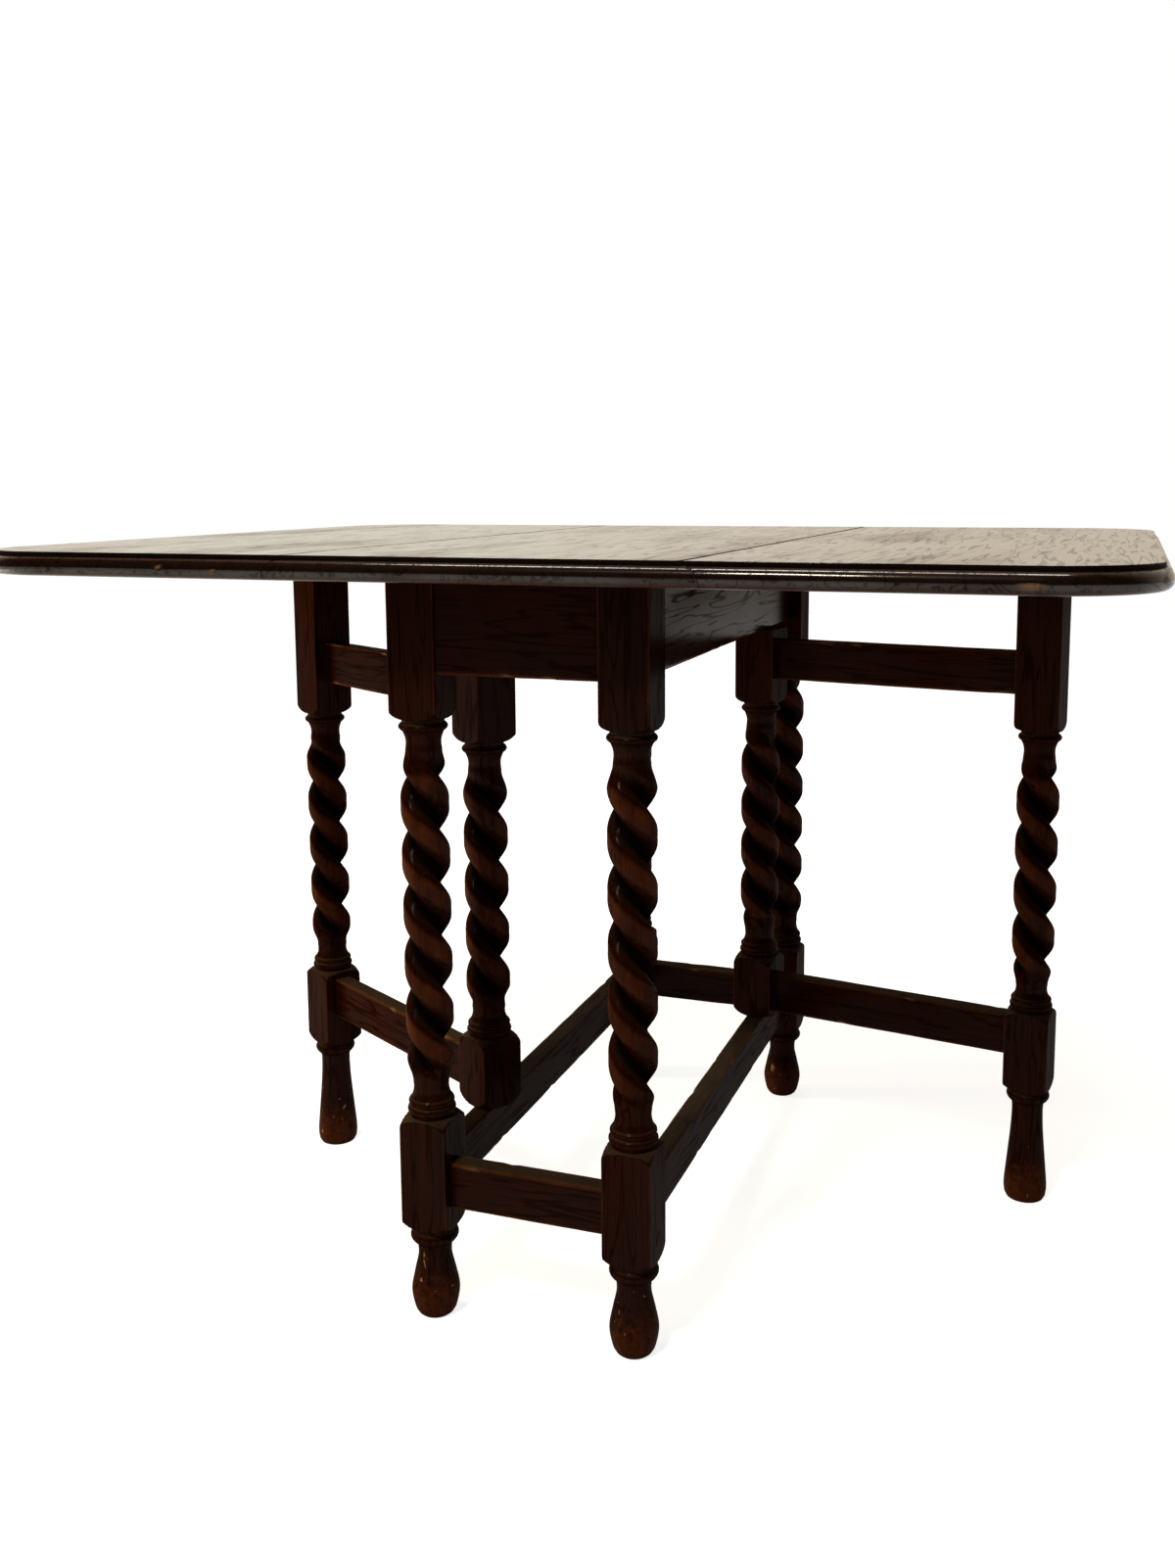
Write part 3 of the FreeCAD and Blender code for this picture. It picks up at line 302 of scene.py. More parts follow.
class Turning:
    """The outline of a turned blank: levels going up, each with its radius."""

    def __init__(self, level):
        self.rows = [(level, CENTRE_SHARE * BLOCK_HALF)]
        self.twist = None

    def to(self, level, radius, step=BLOCK_STEP):
        """A straight run to a level and radius."""
        start, begin = self.rows[-1]
        count = max(1, round(abs(level - start) / step))
        for number in range(1, count + 1):
            share = number / count
            self.rows.append((start + share * (level - start), begin + share * (radius - begin)))

    def bead(self, middle_row, end):
        """A round through a middle row to an end row."""
        a, b, c = map(Vector, (self.rows[-1], middle_row, end))
        pull = 2 * b - (a + c) / 2
        for number in range(1, BEAD_STEPS + 1):
            t = number / BEAD_STEPS
            spot = a * (1 - t) ** 2 + pull * (2 * t * (1 - t)) + c * t ** 2
            self.rows.append((spot.x, spot.y))

    def flow(self, rows):
        """A flowing curve through rows, the first one reached straight."""
        self.to(*rows[0])
        ends = [rows[0]] + list(rows) + [rows[-1]]
        for a, b, c, d in zip(ends, ends[1:], ends[2:], ends[3:]):
            count = max(2, round(abs(c[0] - b[0]) / TURN_STEP))
            for number in range(1, count + 1):
                t = number / count
                self.rows.append(tuple(
                    0.5 * (2 * q + (r - p) * t + (2 * p - 5 * q + 4 * r - s) * t ** 2
                           + (3 * q - p - 3 * r + s) * t ** 3)
                    for p, q, r, s in zip(a, b, c, d)))

    def beads(self, rows):
        """Beads, each from one row through the next to the one after it."""
        for begin, bulge, end in zip(rows[0::3], rows[1::3], rows[2::3]):
            self.to(*begin)
            self.bead(bulge, end)

    def block(self, low, high=None, rise=SHOULDER_HEIGHT):
        """A square block, drawn past its corners, with a round shoulder below and one at a given top."""
        shoulder = SHOULDER_SHARE * BLOCK_HALF
        corner = CORNER_SHARE * BLOCK_HALF
        bulge = (shoulder + corner) / 2
        self.to(low, shoulder)
        self.bead((low + rise * (1 - SHOULDER_BULGE_SHARE), bulge), (low + rise, corner))
        if high is not None:
            self.to(high - SHOULDER_HEIGHT, corner)
            self.bead((high - SHOULDER_HEIGHT * (1 - SHOULDER_BULGE_SHARE), bulge), (high, shoulder))

    def shaft(self, block_top, twist_low, twist_high, upper_bottom):
        """Collar on a block, the stretch that is twisted later, and the collar under the next block."""
        self.twist = (twist_low, twist_high)
        self.beads(between(block_top, twist_low, COLLAR_LOW_SHARES))
        self.flow(between(block_top, twist_low, COLLAR_NECK_SHARES))
        self.to(twist_low, TWIST_END_SHARE * BLOCK_HALF)
        self.to(twist_high, TWIST_END_SHARE * BLOCK_HALF, TURN_STEP)
        self.flow(between(upper_bottom, twist_high, VASE_NECK_SHARES)[::-1])
        self.beads(between(upper_bottom, twist_high, COLLAR_TOP_SHARES)[::-1])

    def post(self, levels, rise=SHOULDER_HEIGHT):
        """Lower block, twisted shaft and upper block with a square end, by six levels going up."""
        block_low, block_top, twist_low, twist_high, upper_bottom, top = levels
        self.block(block_low, block_top, rise)
        self.shaft(block_top, twist_low, twist_high, upper_bottom)
        self.block(upper_bottom)
        self.to(top, CORNER_SHARE * BLOCK_HALF)

    def blank(self, name):
        """The round blank that the outline makes."""
        angles = np.arange(ROUND_POINTS) * 2 * math.pi / ROUND_POINTS
        level, radius = np.array(self.rows).T[:, :, None]
        points = np.stack([radius * np.cos(angles), radius * np.sin(angles), level + 0 * angles], 2)
        return skin(name, [{"points": points}])


def node_group(name, inputs):
    """A new node tree with named inputs: the tree, a wire from each input, and their identifiers."""
    tree = bpy.data.node_groups.new(name, "GeometryNodeTree")
    sockets = {}
    for label, kind in inputs.items():
        sockets[label] = tree.interface.new_socket(label, in_out="INPUT", socket_type="NodeSocket" + kind)
    tree.interface.new_socket("Piece", in_out="OUTPUT", socket_type="NodeSocketGeometry")
    entry = tree.nodes.new("NodeGroupInput")
    given = {label: Wire(tree, entry.outputs[label]) for label in sockets}
    return tree, given, {label: socket.identifier for label, socket in sockets.items()}


def close_group(tree, geometry, finish_wire):
    """The end of a node tree: instances made real, the finish laid on, and the way out."""
    geometry = geometry.node("GeometryNodeRealizeInstances", {}, {"Geometry": geometry})
    dressed = {"Geometry": geometry, "Material": finish_wire}
    geometry = geometry.node("GeometryNodeSetMaterial", {}, dressed)
    leave = tree.nodes.new("NodeGroupOutput")
    tree.links.new(geometry.socket, leave.inputs["Piece"])


# Crest, groove, flank and twist end are shares of the half block.
TWIST_SIZES = {"Block half": BLOCK_HALF, "Arris round": 0.0013, "Lead": 0.102, "Fade": 0.024,
               "Crest": 0.96, "Groove": 0.51, "Flank": 0.87, "Twist end": TWIST_END_SHARE}
POST_LABELS = ("Twist low", "Twist high", "Turn", "Swing", "Seed")
TOOL_MARK_SCALE = 55.0
TOOL_MARK_SHARE = 0.02
CORNER_WEAR_SHARE = 0.16
CREST_WEAR_SHARE = 0.8
NEVER_ZERO = 1e-7
WELD = 1e-6


def barley_twist():
    """The tree that squares a turned blank's blocks, cuts its twist and carries it to its place."""
    inputs = {"Blank": "Geometry", **dict.fromkeys((*TWIST_SIZES, *POST_LABELS), "Float")}
    inputs.update({"Place": "Vector", "Finish": "Material"})
    tree, given, identifiers = node_group("barley_twist", inputs)
    wires = Wire(tree)
    half = given["Block half"]
    spot = wires.node("GeometryNodeInputPosition")
    x = spot.axis("X")
    y = x.other("Y")
    z = x.other("Z")
    angle = y.math("ARCTAN2", x)
    reach = (x * x + y * y).math("SQRT")
    above = z - given["Twist low"]
    below = given["Twist high"] - z
    in_twist = above.math("GREATER_THAN", 0.0) * below.math("GREATER_THAN", 0.0)
    fade = (above.math("MINIMUM", below) / given["Fade"]).held()
    swell = fade * fade * (3 - 2 * fade)

    # Two strands: a wave of two and of four humps round the post that meets crest, flank and groove.
    lean = given["Turn"] - above * (2 * math.pi) / given["Lead"]
    strand = angle - lean
    ends = given["Crest"] + given["Groove"]
    mean = ends * 0.25 + given["Flank"] * 0.5
    second = (given["Crest"] - given["Groove"]) * 0.5
    fourth = ends * 0.25 - given["Flank"] * 0.5
    wave = mean + second * (strand * 2).math("COSINE") + fourth * (strand * 4).math("COSINE")
    cut = given["Twist end"] + swell * (wave - given["Twist end"])
    moved = wires.node("ShaderNodeVectorMath", {"operation": "ADD"}, {0: spot, 1: given["Place"]})
    marks = {"Vector": moved, "Scale": TOOL_MARK_SCALE, "Detail": 2.0}
    tool = wires.node("ShaderNodeTexNoise", {}, marks)
    uneven = 1 + (tool - 0.5) * TOOL_MARK_SHARE * swell
    radius = reach + in_twist * (cut * half * uneven - reach)
    depth = in_twist * swell * (given["Crest"] - cut) / (given["Crest"] - given["Groove"])

    # What stands past the square is planed off, and the arrises are rounded.
    round_at = given["Arris round"]
    flat = half - round_at

    def squared(part):
        """One coordinate split into its sign, its flat share and its share in the rounded corner."""
        size = part.math("ABSOLUTE").math("MINIMUM", half)
        return part.math("SIGN"), size.math("MINIMUM", flat), (size - flat).math("MAXIMUM", 0.0)

    sign_x, flat_x, corner_x = squared(radius * angle.math("COSINE"))
    sign_y, flat_y, corner_y = squared(radius * angle.math("SINE"))
    corner = (corner_x * corner_x + corner_y * corner_y).math("SQRT").math("MAXIMUM", NEVER_ZERO)
    drawn = (round_at / corner).math("MINIMUM", 1.0)
    placed = wires.node("ShaderNodeCombineXYZ", {}, {
        "X": sign_x * (flat_x + corner_x * drawn), "Y": sign_y * (flat_y + corner_y * drawn), "Z": z})
    nearness = 1 - (2 * half - flat_x - flat_y - corner_x - corner_y) / (CORNER_WEAR_SHARE * half)
    at_corner = nearness.held() * (1 - in_twist)
    crest = in_twist * swell * (1 - depth).ramp(0.7, 1.02) * CREST_WEAR_SHARE

    def stored(geometry, label, value, kind="FLOAT"):
        """The geometry with one more value on its points."""
        inputs = {"Geometry": geometry, "Name": label, "Value": value}
        settings = {"data_type": kind, "domain": "POINT"}
        return wires.node("GeometryNodeStoreNamedAttribute", settings, inputs)

    geometry = stored(given["Blank"], "hollow", depth)
    geometry = stored(geometry, "arris", at_corner + crest)
    geometry = wires.node("GeometryNodeSetPosition", {}, {"Geometry": geometry, "Position": placed})
    there = wires.node("GeometryNodeInputPosition").axis("X")
    along = wires.node("ShaderNodeCombineXYZ", {}, {
        "X": there.other("Z") + given["Seed"], "Y": there + given["Seed"], "Z": there.other("Y")})
    geometry = stored(geometry, "grain", along, "FLOAT_VECTOR")
    turn = wires.node("ShaderNodeCombineXYZ", {}, {"Z": given["Swing"]})
    geometry = wires.node("GeometryNodeTransform", {},
                          {"Geometry": geometry, "Translation": given["Place"], "Rotation": turn})
    geometry = wires.node("GeometryNodeMergeByDistance", {}, {"Geometry": geometry, "Distance": WELD})
    close_group(tree, geometry, given["Finish"])
    return tree, identifiers


twist_tree, twist_inputs = barley_twist()
SHARP_ANGLE = math.radians(38)


def applied(piece, tree, identifiers, values):
    """The piece run through a node tree with the given values and turned into a plain mesh."""
    maker = piece.modifiers.new(tree.name, "NODES")
    maker.node_group = tree
    for label, value in values.items():
        maker[identifiers[label]] = value
    ready = piece.evaluated_get(bpy.context.evaluated_depsgraph_get())
    mesh = bpy.data.meshes.new_from_object(ready)
    piece.modifiers.clear()
    piece.data = mesh
    mesh.set_sharp_from_angle(angle=SHARP_ANGLE)
    return piece


def carved(turning, name, turn, place, swing, seed):
    """A turned blank squared, twisted and set in its place."""
    low, high = turning.twist
    values = {**TWIST_SIZES, "Twist low": low, "Twist high": high, "Turn": math.radians(turn),
              "Swing": swing, "Seed": seed, "Place": (place.x, place.y, 0.0), "Finish": frame_oak}
    return applied(turning.blank(name), twist_tree, twist_inputs, values)


def owned(piece, body, slot, *nodes):
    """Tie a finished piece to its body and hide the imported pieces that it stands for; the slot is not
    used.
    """
    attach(piece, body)
    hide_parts(*nodes)


LEG_BLOCK_DROP = 0.023
LEG_BLOCK_RISE = 0.044
LEG_COLLAR = 0.034
LEG_UPPER_DROP = 0.0435
LEG_UPPER_COLLAR = 0.0295
LEG_SEED_STEP = 0.37
LEG_TURNS = {"leg_near_left": 77, "leg_near_right": 12, "leg_far_left": 40, "leg_far_right": 90}
top_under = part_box("leg_near_left")[1].z
apron_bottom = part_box("end_apron_near")[0].z
stretcher_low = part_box("end_stretcher_near")[0].z
stretcher_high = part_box("end_stretcher_near")[1].z
foot_top = stretcher_low - LEG_BLOCK_DROP
leg_block_top = stretcher_high + LEG_BLOCK_RISE
leg_upper_bottom = apron_bottom - LEG_UPPER_DROP
leg_levels = (foot_top, leg_block_top, leg_block_top + LEG_COLLAR, leg_upper_bottom - LEG_UPPER_COLLAR,
              leg_upper_bottom, top_under)
for number, (node, turn) in enumerate(LEG_TURNS.items()):
    turning = Turning(0.0)
    turning.flow(between(0.0, foot_top, FOOT_SHARES))
    turning.beads(between(0.0, foot_top, FOOT_RING_SHARES))
    turning.post(leg_levels)
    leg = carved(turning, "turned_" + node, turn, middle(node), 0.0, LEG_SEED_STEP * number)
    owned(leg, "frame", "frame_oak", node)


# Aprons and stretchers
# Planed oak boards between the leg blocks, tenoned into them: deep aprons under the top that carry the
# gates' upper pivots, and low stretchers near the floor that carry the lower ones. The side aprons have
# kept more of their polish.
ARRIS_ROUND = 0.0016
ARRIS_STEPS = 4
BOARD_STEP = 0.008
WEAR_ROWS = (0.0025, 0.006)
ROW_MARGIN = 0.002
WEAR_REACH = 0.005
FACE_WEAR_SHARE = 0.6
PLANE_WOBBLE = 0.00018
PLANE_WAVES_ALONG = 14.0
PLANE_WAVES_ACROSS = 30.0
ARRIS_WEAR = 0.0005
ARRIS_WAVES = 45.0
ARRIS_NOISE_ROW = 0.5
DENT_SPACING = 0.06
DENT_PLACE_SHARES = (0.03, 0.97)
DENT_DEPTHS = (0.0004, 0.0012)
DENT_WIDTHS = (0.003, 0.009)
DENT_BARE_SHARE = 0.8
GRAIN_SHIFT = 0.31


def board_outline(thickness, height, rounding):
    """A board's section: points with their way out, their wear and the corner they round."""
    half = Vector((thickness / 2, height / 2))
    outline = []
    for corner, (sx, sy) in enumerate(((1, 1), (-1, 1), (-1, -1), (1, -1))):
        centre = Vector((sx * (half.x - rounding), sy * (half.y - rounding)))
        for step in range(ARRIS_STEPS + 1):
            angle = (corner + step / ARRIS_STEPS) * math.pi / 2
            out = Vector((math.cos(angle), math.sin(angle)))
            outline.append((centre + out * rounding, out, 1.0, corner))
        begin = outline[-1][0]
        ahead = Vector((-out.y, out.x))
        run = 2 * ((half.x if corner % 2 == 0 else half.y) - rounding)
        count = max(2, round(run / BOARD_STEP))
        spaces = [*WEAR_ROWS, *(run * step / count for step in range(1, count))]
        kept = {round(space, 5) for space in spaces if ROW_MARGIN < space < run - ROW_MARGIN}
        for space in sorted(kept | {run - WEAR_ROWS[0]}):
            worn = max(0.0, 1 - min(space, run - space) / WEAR_REACH)
            outline.append((begin + ahead * space, out, FACE_WEAR_SHARE * worn, None))
    return outline


def board_rings(start, direction, length, thickness, low, high, seed, rounding=ARRIS_ROUND):
    """A planed board as a stack of rings along its length, its arrises worn round and uneven."""
    along = Vector((direction.x, direction.y, 0.0)).normalized()
    across = Vector((-along.y, along.x, 0.0))
    level = (low + high) / 2
    chance = random.Random(seed)
    outline = board_outline(thickness, high - low, rounding)
    stations = max(3, round(length / BOARD_STEP)) + 1
    points, grain = np.zeros((2, stations, len(outline), 3))
    arris, chips = np.zeros((2, stations, len(outline), 1))
    dents = [(chance.uniform(*DENT_PLACE_SHARES) * length, chance.randrange(4),
              chance.uniform(*DENT_DEPTHS), chance.uniform(*DENT_WIDTHS))
             for _ in range(max(2, round(length / DENT_SPACING)))]
    for station in range(stations):
        travel = length * station / (stations - 1)
        for index, (spot, out, worn, corner) in enumerate(outline):
            ripple = Vector((travel * PLANE_WAVES_ALONG + seed, *(spot * PLANE_WAVES_ACROSS)))
            depth = 0.0
            if corner is not None:
                rubbing = Vector((travel * ARRIS_WAVES, seed + corner, ARRIS_NOISE_ROW))
                depth = ARRIS_WEAR * max(0.0, noise.noise(rubbing))
                for dent_at, which, deep, wide in dents:
                    gap = abs(travel - dent_at) / wide
                    if which == corner and gap < 1:
                        depth = max(depth, deep * (1 - gap * gap))
                        bare = DENT_BARE_SHARE * (1 - gap)
                        chips[station, index, 0] = max(chips[station, index, 0], bare)
            flat = spot + out * (PLANE_WOBBLE * noise.noise(ripple) - depth)
            place = start + along * travel + across * flat.x
            points[station, index] = (place.x, place.y, level + flat.y)
            grain[station, index] = (travel + seed, flat.x + GRAIN_SHIFT * seed, flat.y)
            arris[station, index, 0] = worn
    return {"points": points, "grain": grain, "arris": arris, "chip": chips}


def board(name, rings, material):
    """A board's skin with its finish."""
    piece = skin(name, rings)
    piece.data.materials.append(material)
    piece.data.set_sharp_from_angle(angle=SHARP_ANGLE)
    return piece


def planed(node, body, start, direction, length, thickness, seed, wood=frame_oak):
    """One planed board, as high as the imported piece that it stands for."""
    low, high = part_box(node)
    rings = board_rings(start, direction, length, thickness, low.z, high.z, seed)
    owned(board("planed_" + node, [rings], wood), body, "frame_oak", node)


ACROSS = Vector((1.0, 0.0, 0.0))
AHEAD = Vector((0.0, 1.0, 0.0))
SEED_STEP = 1.7
apron_oak = oak("apron_oak", coat=0.27)
end_run = 2 * (middle("leg_near_right").x - BLOCK_HALF)
side_run = 2 * (middle("leg_far_right").y - BLOCK_HALF)
seed = 1.0
for word in ("near", "far"):
    for kind in ("end_apron", "end_stretcher"):
        node = "%s_%s" % (kind, word)
        low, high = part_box(node)
        start = Vector((-end_run / 2, (low.y + high.y) / 2, 0.0))
        seed += SEED_STEP
        planed(node, "frame", start, ACROSS, end_run, high.y - low.y, seed)
for word in ("left", "right"):
    for kind, wood in (("side_apron", apron_oak), ("side_stretcher", frame_oak)):
        node = "%s_%s" % (kind, word)
        low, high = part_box(node)
        start = Vector(((low.x + high.x) / 2, -side_run / 2, 0.0))
        seed += SEED_STEP
        planed(node, "frame", start, AHEAD, side_run, high.x - low.x, seed, wood)


# Gates
# Each gate is a turned stile, a turned leg and two planed rails tenoned between them. The stile stands on
# the stretcher under the apron, its lower end rounded, and turns on round oak pins let into both.
FLOOR_RIM_SHARE = 0.86
GATE_FOOT_SHARES = ((0.03, 0.95), (0.12, 0.99), (0.35, 0.88), (0.62, 0.75), (0.80, 0.71), (0.875, 0.74))
GATE_RING_SHARES = ((0.89, 0.84), (0.937, 0.99), (0.98, 0.86))
RAIL_THICKNESS = 0.019
STILE_SHOULDER = 0.012
GATE_BLOCK_DROP = 0.037
GATE_BLOCK_RISE = 0.008
GATE_COLLAR = 0.029
GATE_UPPER_DROP = 0.038
GATE_UPPER_COLLAR = 0.030
STILE_BLOCK_RISE = 0.021
STILE_COLLAR = 0.030
STILE_UPPER_DROP = 0.029
STILE_UPPER_COLLAR = 0.030
gate_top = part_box("left_gate_leg")[1].z
stile_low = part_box("left_gate_stile")[0].z
stile_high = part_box("left_gate_stile")[1].z
rail_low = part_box("left_gate_lower_rail")[0].z
rail_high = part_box("left_gate_lower_rail")[1].z
upper_rail_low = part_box("left_gate_upper_rail")[0].z
gate_foot_top = rail_low - GATE_BLOCK_DROP
gate_block_top = rail_high + GATE_BLOCK_RISE
gate_upper_bottom = upper_rail_low - GATE_UPPER_DROP
gate_levels = (gate_foot_top, gate_block_top, gate_block_top + GATE_COLLAR,
               gate_upper_bottom - GATE_UPPER_COLLAR, gate_upper_bottom, gate_top)
stile_block_top = rail_high + STILE_BLOCK_RISE
stile_upper_bottom = upper_rail_low - STILE_UPPER_DROP
stile_levels = (stile_low, stile_block_top, stile_block_top + STILE_COLLAR,
                stile_upper_bottom - STILE_UPPER_COLLAR, stile_upper_bottom, stile_high)
PIN_RADIUS = 0.005
PIN_ROOT = 0.026
PIN_POINTS = 32
PIN_DEEP = stain(104, 76, 48)
PIN_WARM = stain(142, 108, 70)
pivot_oak = oak("pivot_oak", PIN_DEEP, PIN_WARM, rough=0.55, coat=0.0, dust_and_sheen_share=0.0)


def pin_rings(at, low, high, seed):
    """A round pin as a stack of rings, its grain upright."""
    angles = np.arange(PIN_POINTS) * 2 * math.pi / PIN_POINTS
    levels = np.linspace(low, high, max(2, round((high - low) / BOARD_STEP)))[:, None]
    x = PIN_RADIUS * np.cos(angles) + 0 * levels
    y = PIN_RADIUS * np.sin(angles) + 0 * levels
    z = levels + 0 * angles
    return {"points": np.stack([at.x + x, at.y + y, z], 2), "grain": np.stack([z + seed, x, y], 2)}


GATE_LEG_SEEDS = {"left": 2.1, "right": 2.63}
STILE_SEEDS = {"left": 3.3, "right": 3.77}
GATE_TURNS = {"left": (143, 150), "right": (20, 19)}
for word, (leg_turn, stile_turn) in GATE_TURNS.items():
    body = word + "_gate"
    stile_at = middle(word + "_gate_stile")
    leg_at = middle(word + "_gate_leg")
    reach = Vector((leg_at.x - stile_at.x, leg_at.y - stile_at.y, 0.0))
    swing = math.atan2(reach.y, reach.x)
    turning = Turning(0.0)
    turning.to(0.0, FLOOR_RIM_SHARE * BLOCK_HALF)
    turning.flow(between(0.0, gate_foot_top, GATE_FOOT_SHARES))
    turning.beads(between(0.0, gate_foot_top, GATE_RING_SHARES))
    turning.post(gate_levels)
    leg = carved(turning, "turned_%s_gate_leg" % word, leg_turn, leg_at, swing, GATE_LEG_SEEDS[word])
    owned(leg, body, "frame_oak", word + "_gate_leg")
    turning = Turning(stile_low)
    turning.post(stile_levels, STILE_SHOULDER)
    stile = carved(turning, "turned_%s_gate_stile" % word, stile_turn, stile_at, swing, STILE_SEEDS[word])
    owned(stile, body, "frame_oak", word + "_gate_stile")
    start = Vector((stile_at.x, stile_at.y, 0.0)) + reach.normalized() * BLOCK_HALF
    rail_run = reach.length - 2 * BLOCK_HALF
    for rail in ("upper_rail", "lower_rail"):
        seed += SEED_STEP
        planed("%s_gate_%s" % (word, rail), body, start, reach, rail_run, RAIL_THICKNESS, seed)
    node = word + "_gate_pivot_pins"
    low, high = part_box(node)
    pins = [pin_rings(stile_at, low.z, stile_low + PIN_ROOT, seed),
            pin_rings(stile_at, stile_high - PIN_ROOT, high.z, seed + 1)]
    owned(board("round_%s_pivot_pins" % word, pins, pivot_oak), body, "pivot_oak", node)


# Glue blocks and gate stops
# Plain blocks of unpolished wood: six rubbed into the corner of apron and top, each with a screw up into
# the middle board, and one stop screwed under each leaf where its open gate comes to rest.
INNER_DEEP = stain(92, 68, 46)
INNER_WARM = stain(128, 98, 66)
inner_wood = oak("inner_wood", INNER_DEEP, INNER_WARM, rough=0.62, coat=0.0, dust_and_sheen_share=0.0)
GLUE_SIDE = 0.025
GLUE_LENGTH = 0.060
GLUE_OFFSET = 0.110
glue_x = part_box("side_apron_right")[0].x - GLUE_SIDE / 2
glue_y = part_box("end_apron_far")[0].y - GLUE_SIDE / 2
glue_places = [(Vector((sx * glue_x, sy * GLUE_OFFSET - GLUE_LENGTH / 2, 0.0)), AHEAD)
               for sx in (-1, 1) for sy in (-1, 1)]
glue_places += [(Vector((-GLUE_LENGTH / 2, sy * glue_y, 0.0)), ACROSS) for sy in (-1, 1)]
glue_low = top_under - GLUE_SIDE
glue_rings = []
for start, direction in glue_places:
    seed += SEED_STEP
    glue_rings.append(board_rings(start, direction, GLUE_LENGTH, GLUE_SIDE, glue_low, top_under, seed))
owned(board("rubbed_glue_blocks", glue_rings, inner_wood), "frame", "inner_wood", "glue_blocks")
STOP_LENGTH = 0.050
STOP_WIDTH = 0.018
STOP_HEIGHT = 0.012
STOP_ARRIS = 0.0006
STOP_PLAY = 0.0003
STOP_SCREW_PITCH = 0.030
STOP_TURNS = {"left": math.radians(176), "right": math.radians(-4)}
stop_low = top_under - STOP_HEIGHT
stop_screws = {}
for word, turn in STOP_TURNS.items():
    along = Vector((math.cos(turn), math.sin(turn), 0.0))
    across = Vector((-along.y, along.x, 0.0))
    reach = middle(word + "_gate_leg") - middle(word + "_gate_stile")
    centre = middle(word + "_gate_stile") + along * reach.xy.length
    centre += across * (BLOCK_HALF + STOP_PLAY + STOP_WIDTH / 2)
    stop_screws[word] = [centre + along * share * STOP_SCREW_PITCH for share in (-0.5, 0.5)]
    seed += SEED_STEP
    start = centre - along * STOP_LENGTH / 2
    rings = board_rings(start, along, STOP_LENGTH, STOP_WIDTH, stop_low, top_under, seed, STOP_ARRIS)
    node = word + "_gate_stop"
    owned(board("planed_" + node, [rings], inner_wood), word + "_leaf", "inner_wood", node)


# Top
# Three oak boards with the grain along the joints: a middle board screwed to the frame and two leaves.
# Rule joints between them; round the outside a thumb moulding under a small square step.
OAK_TOP_DEEP = stain(26, 14, 8)
OAK_TOP_WARM = stain(70, 38, 18)
# Its moulded edges carry painted shade, darker than its top by the way they face.
top_oak = oak("top_oak", OAK_TOP_DEEP, OAK_TOP_WARM, rough=0.3, mirror=0.05, coat=0.68, edge_coat=0.95,
              painted_edge_shade=0.8, coat_rough=0.1, relief=0.15, dust_and_sheen_share=0.0)
CORNER_RADIUS = 0.095
STEP_HEIGHT = 0.004
STEP_SETBACK = 0.0065
ROUND_ABOVE = 0.009
ROUND_BELOW = 0.008
JOINT_HALF = 0.180
RULE_FILLET = 0.004
RULE_GAP = 0.0006
HINGE_RISE = 0.003
JOINT_EASE = 0.0008
TOP_ARRIS = 0.0006
top_high = Vector(cad_high)
thickness = top_high.z - top_under
rule_radius = thickness - RULE_FILLET - HINGE_RISE
ovolo_top = thickness - STEP_HEIGHT


def moulding(rise):
    """How far the outer edge stands back at a height above the underside."""
    if rise < ROUND_BELOW:
        return ROUND_BELOW - math.sqrt(ROUND_BELOW ** 2 - (ROUND_BELOW - rise) ** 2)
    if rise < ovolo_top:
        over = max(0.0, rise - (ovolo_top - ROUND_ABOVE))
        back = ROUND_ABOVE - math.sqrt(max(0.0, ROUND_ABOVE ** 2 - over ** 2))
        return min(STEP_SETBACK, back)
    worn = max(0.0, rise - (thickness - TOP_ARRIS))
    return STEP_SETBACK + TOP_ARRIS - math.sqrt(max(0.0, TOP_ARRIS ** 2 - worn ** 2))


def eased(rise):
    """How far a joint's top arris is rubbed back at a height above the underside."""
    return max(0.0, rise - (thickness - JOINT_EASE))


def rule_edge(rise, gap):
    """Where the rule joint's edge lies beyond the joint line at a height above the underside."""
    radius = rule_radius + gap
    over = max(0.0, rise - HINGE_RISE)
    if over >= radius:
        return gap
    return max(gap, math.sqrt(radius ** 2 - over ** 2))


ROUND_RISE_SHARES = (0.0, 0.05, 0.15, 0.3, 0.5, 0.75, 1.0)
OVOLO_RISE_SHARES = (0.15, 0.3, 0.45, 0.6, 0.73, 0.84, 0.92, 0.964, 0.98)
STEP_RISE_SHARES = (0.05, 0.175, 0.5, 0.8, 0.875, 0.95, 0.9825, 1.0)
BRINK_INSETS = (0.0007, 0.0018, 0.007)
rises = [ROUND_BELOW * share for share in ROUND_RISE_SHARES]
rises += [ROUND_BELOW + (ovolo_top - ROUND_BELOW) * share for share in OVOLO_RISE_SHARES]
rises += [ovolo_top + STEP_HEIGHT * share for share in STEP_RISE_SHARES]
top_rows = [(0.0, inset) for inset in BRINK_INSETS[::-1]]
top_rows += [(rise, 0.0) for rise in rises]
top_rows += [(rises[-1], inset) for inset in BRINK_INSETS]
EDGE_STEP = 0.004
JOINT_STEP = 0.01
end_count = round(2 * JOINT_HALF / EDGE_STEP)
joint_count = round(2 * top_high.y / JOINT_STEP)
leaf_end_count = round((top_high.x - CORNER_RADIUS - JOINT_HALF) / EDGE_STEP)
corner_count = round(CORNER_RADIUS * math.pi / 2 / EDGE_STEP)
outer_count = round(2 * (top_high.y - CORNER_RADIUS) / EDGE_STEP)


def straight(a, b, count, moulded):
    """Points of a straight stretch of a plan without its end, each with 1 where it is moulded."""
    return [(Vector(a).lerp(Vector(b), number / count), moulded) for number in range(count)]


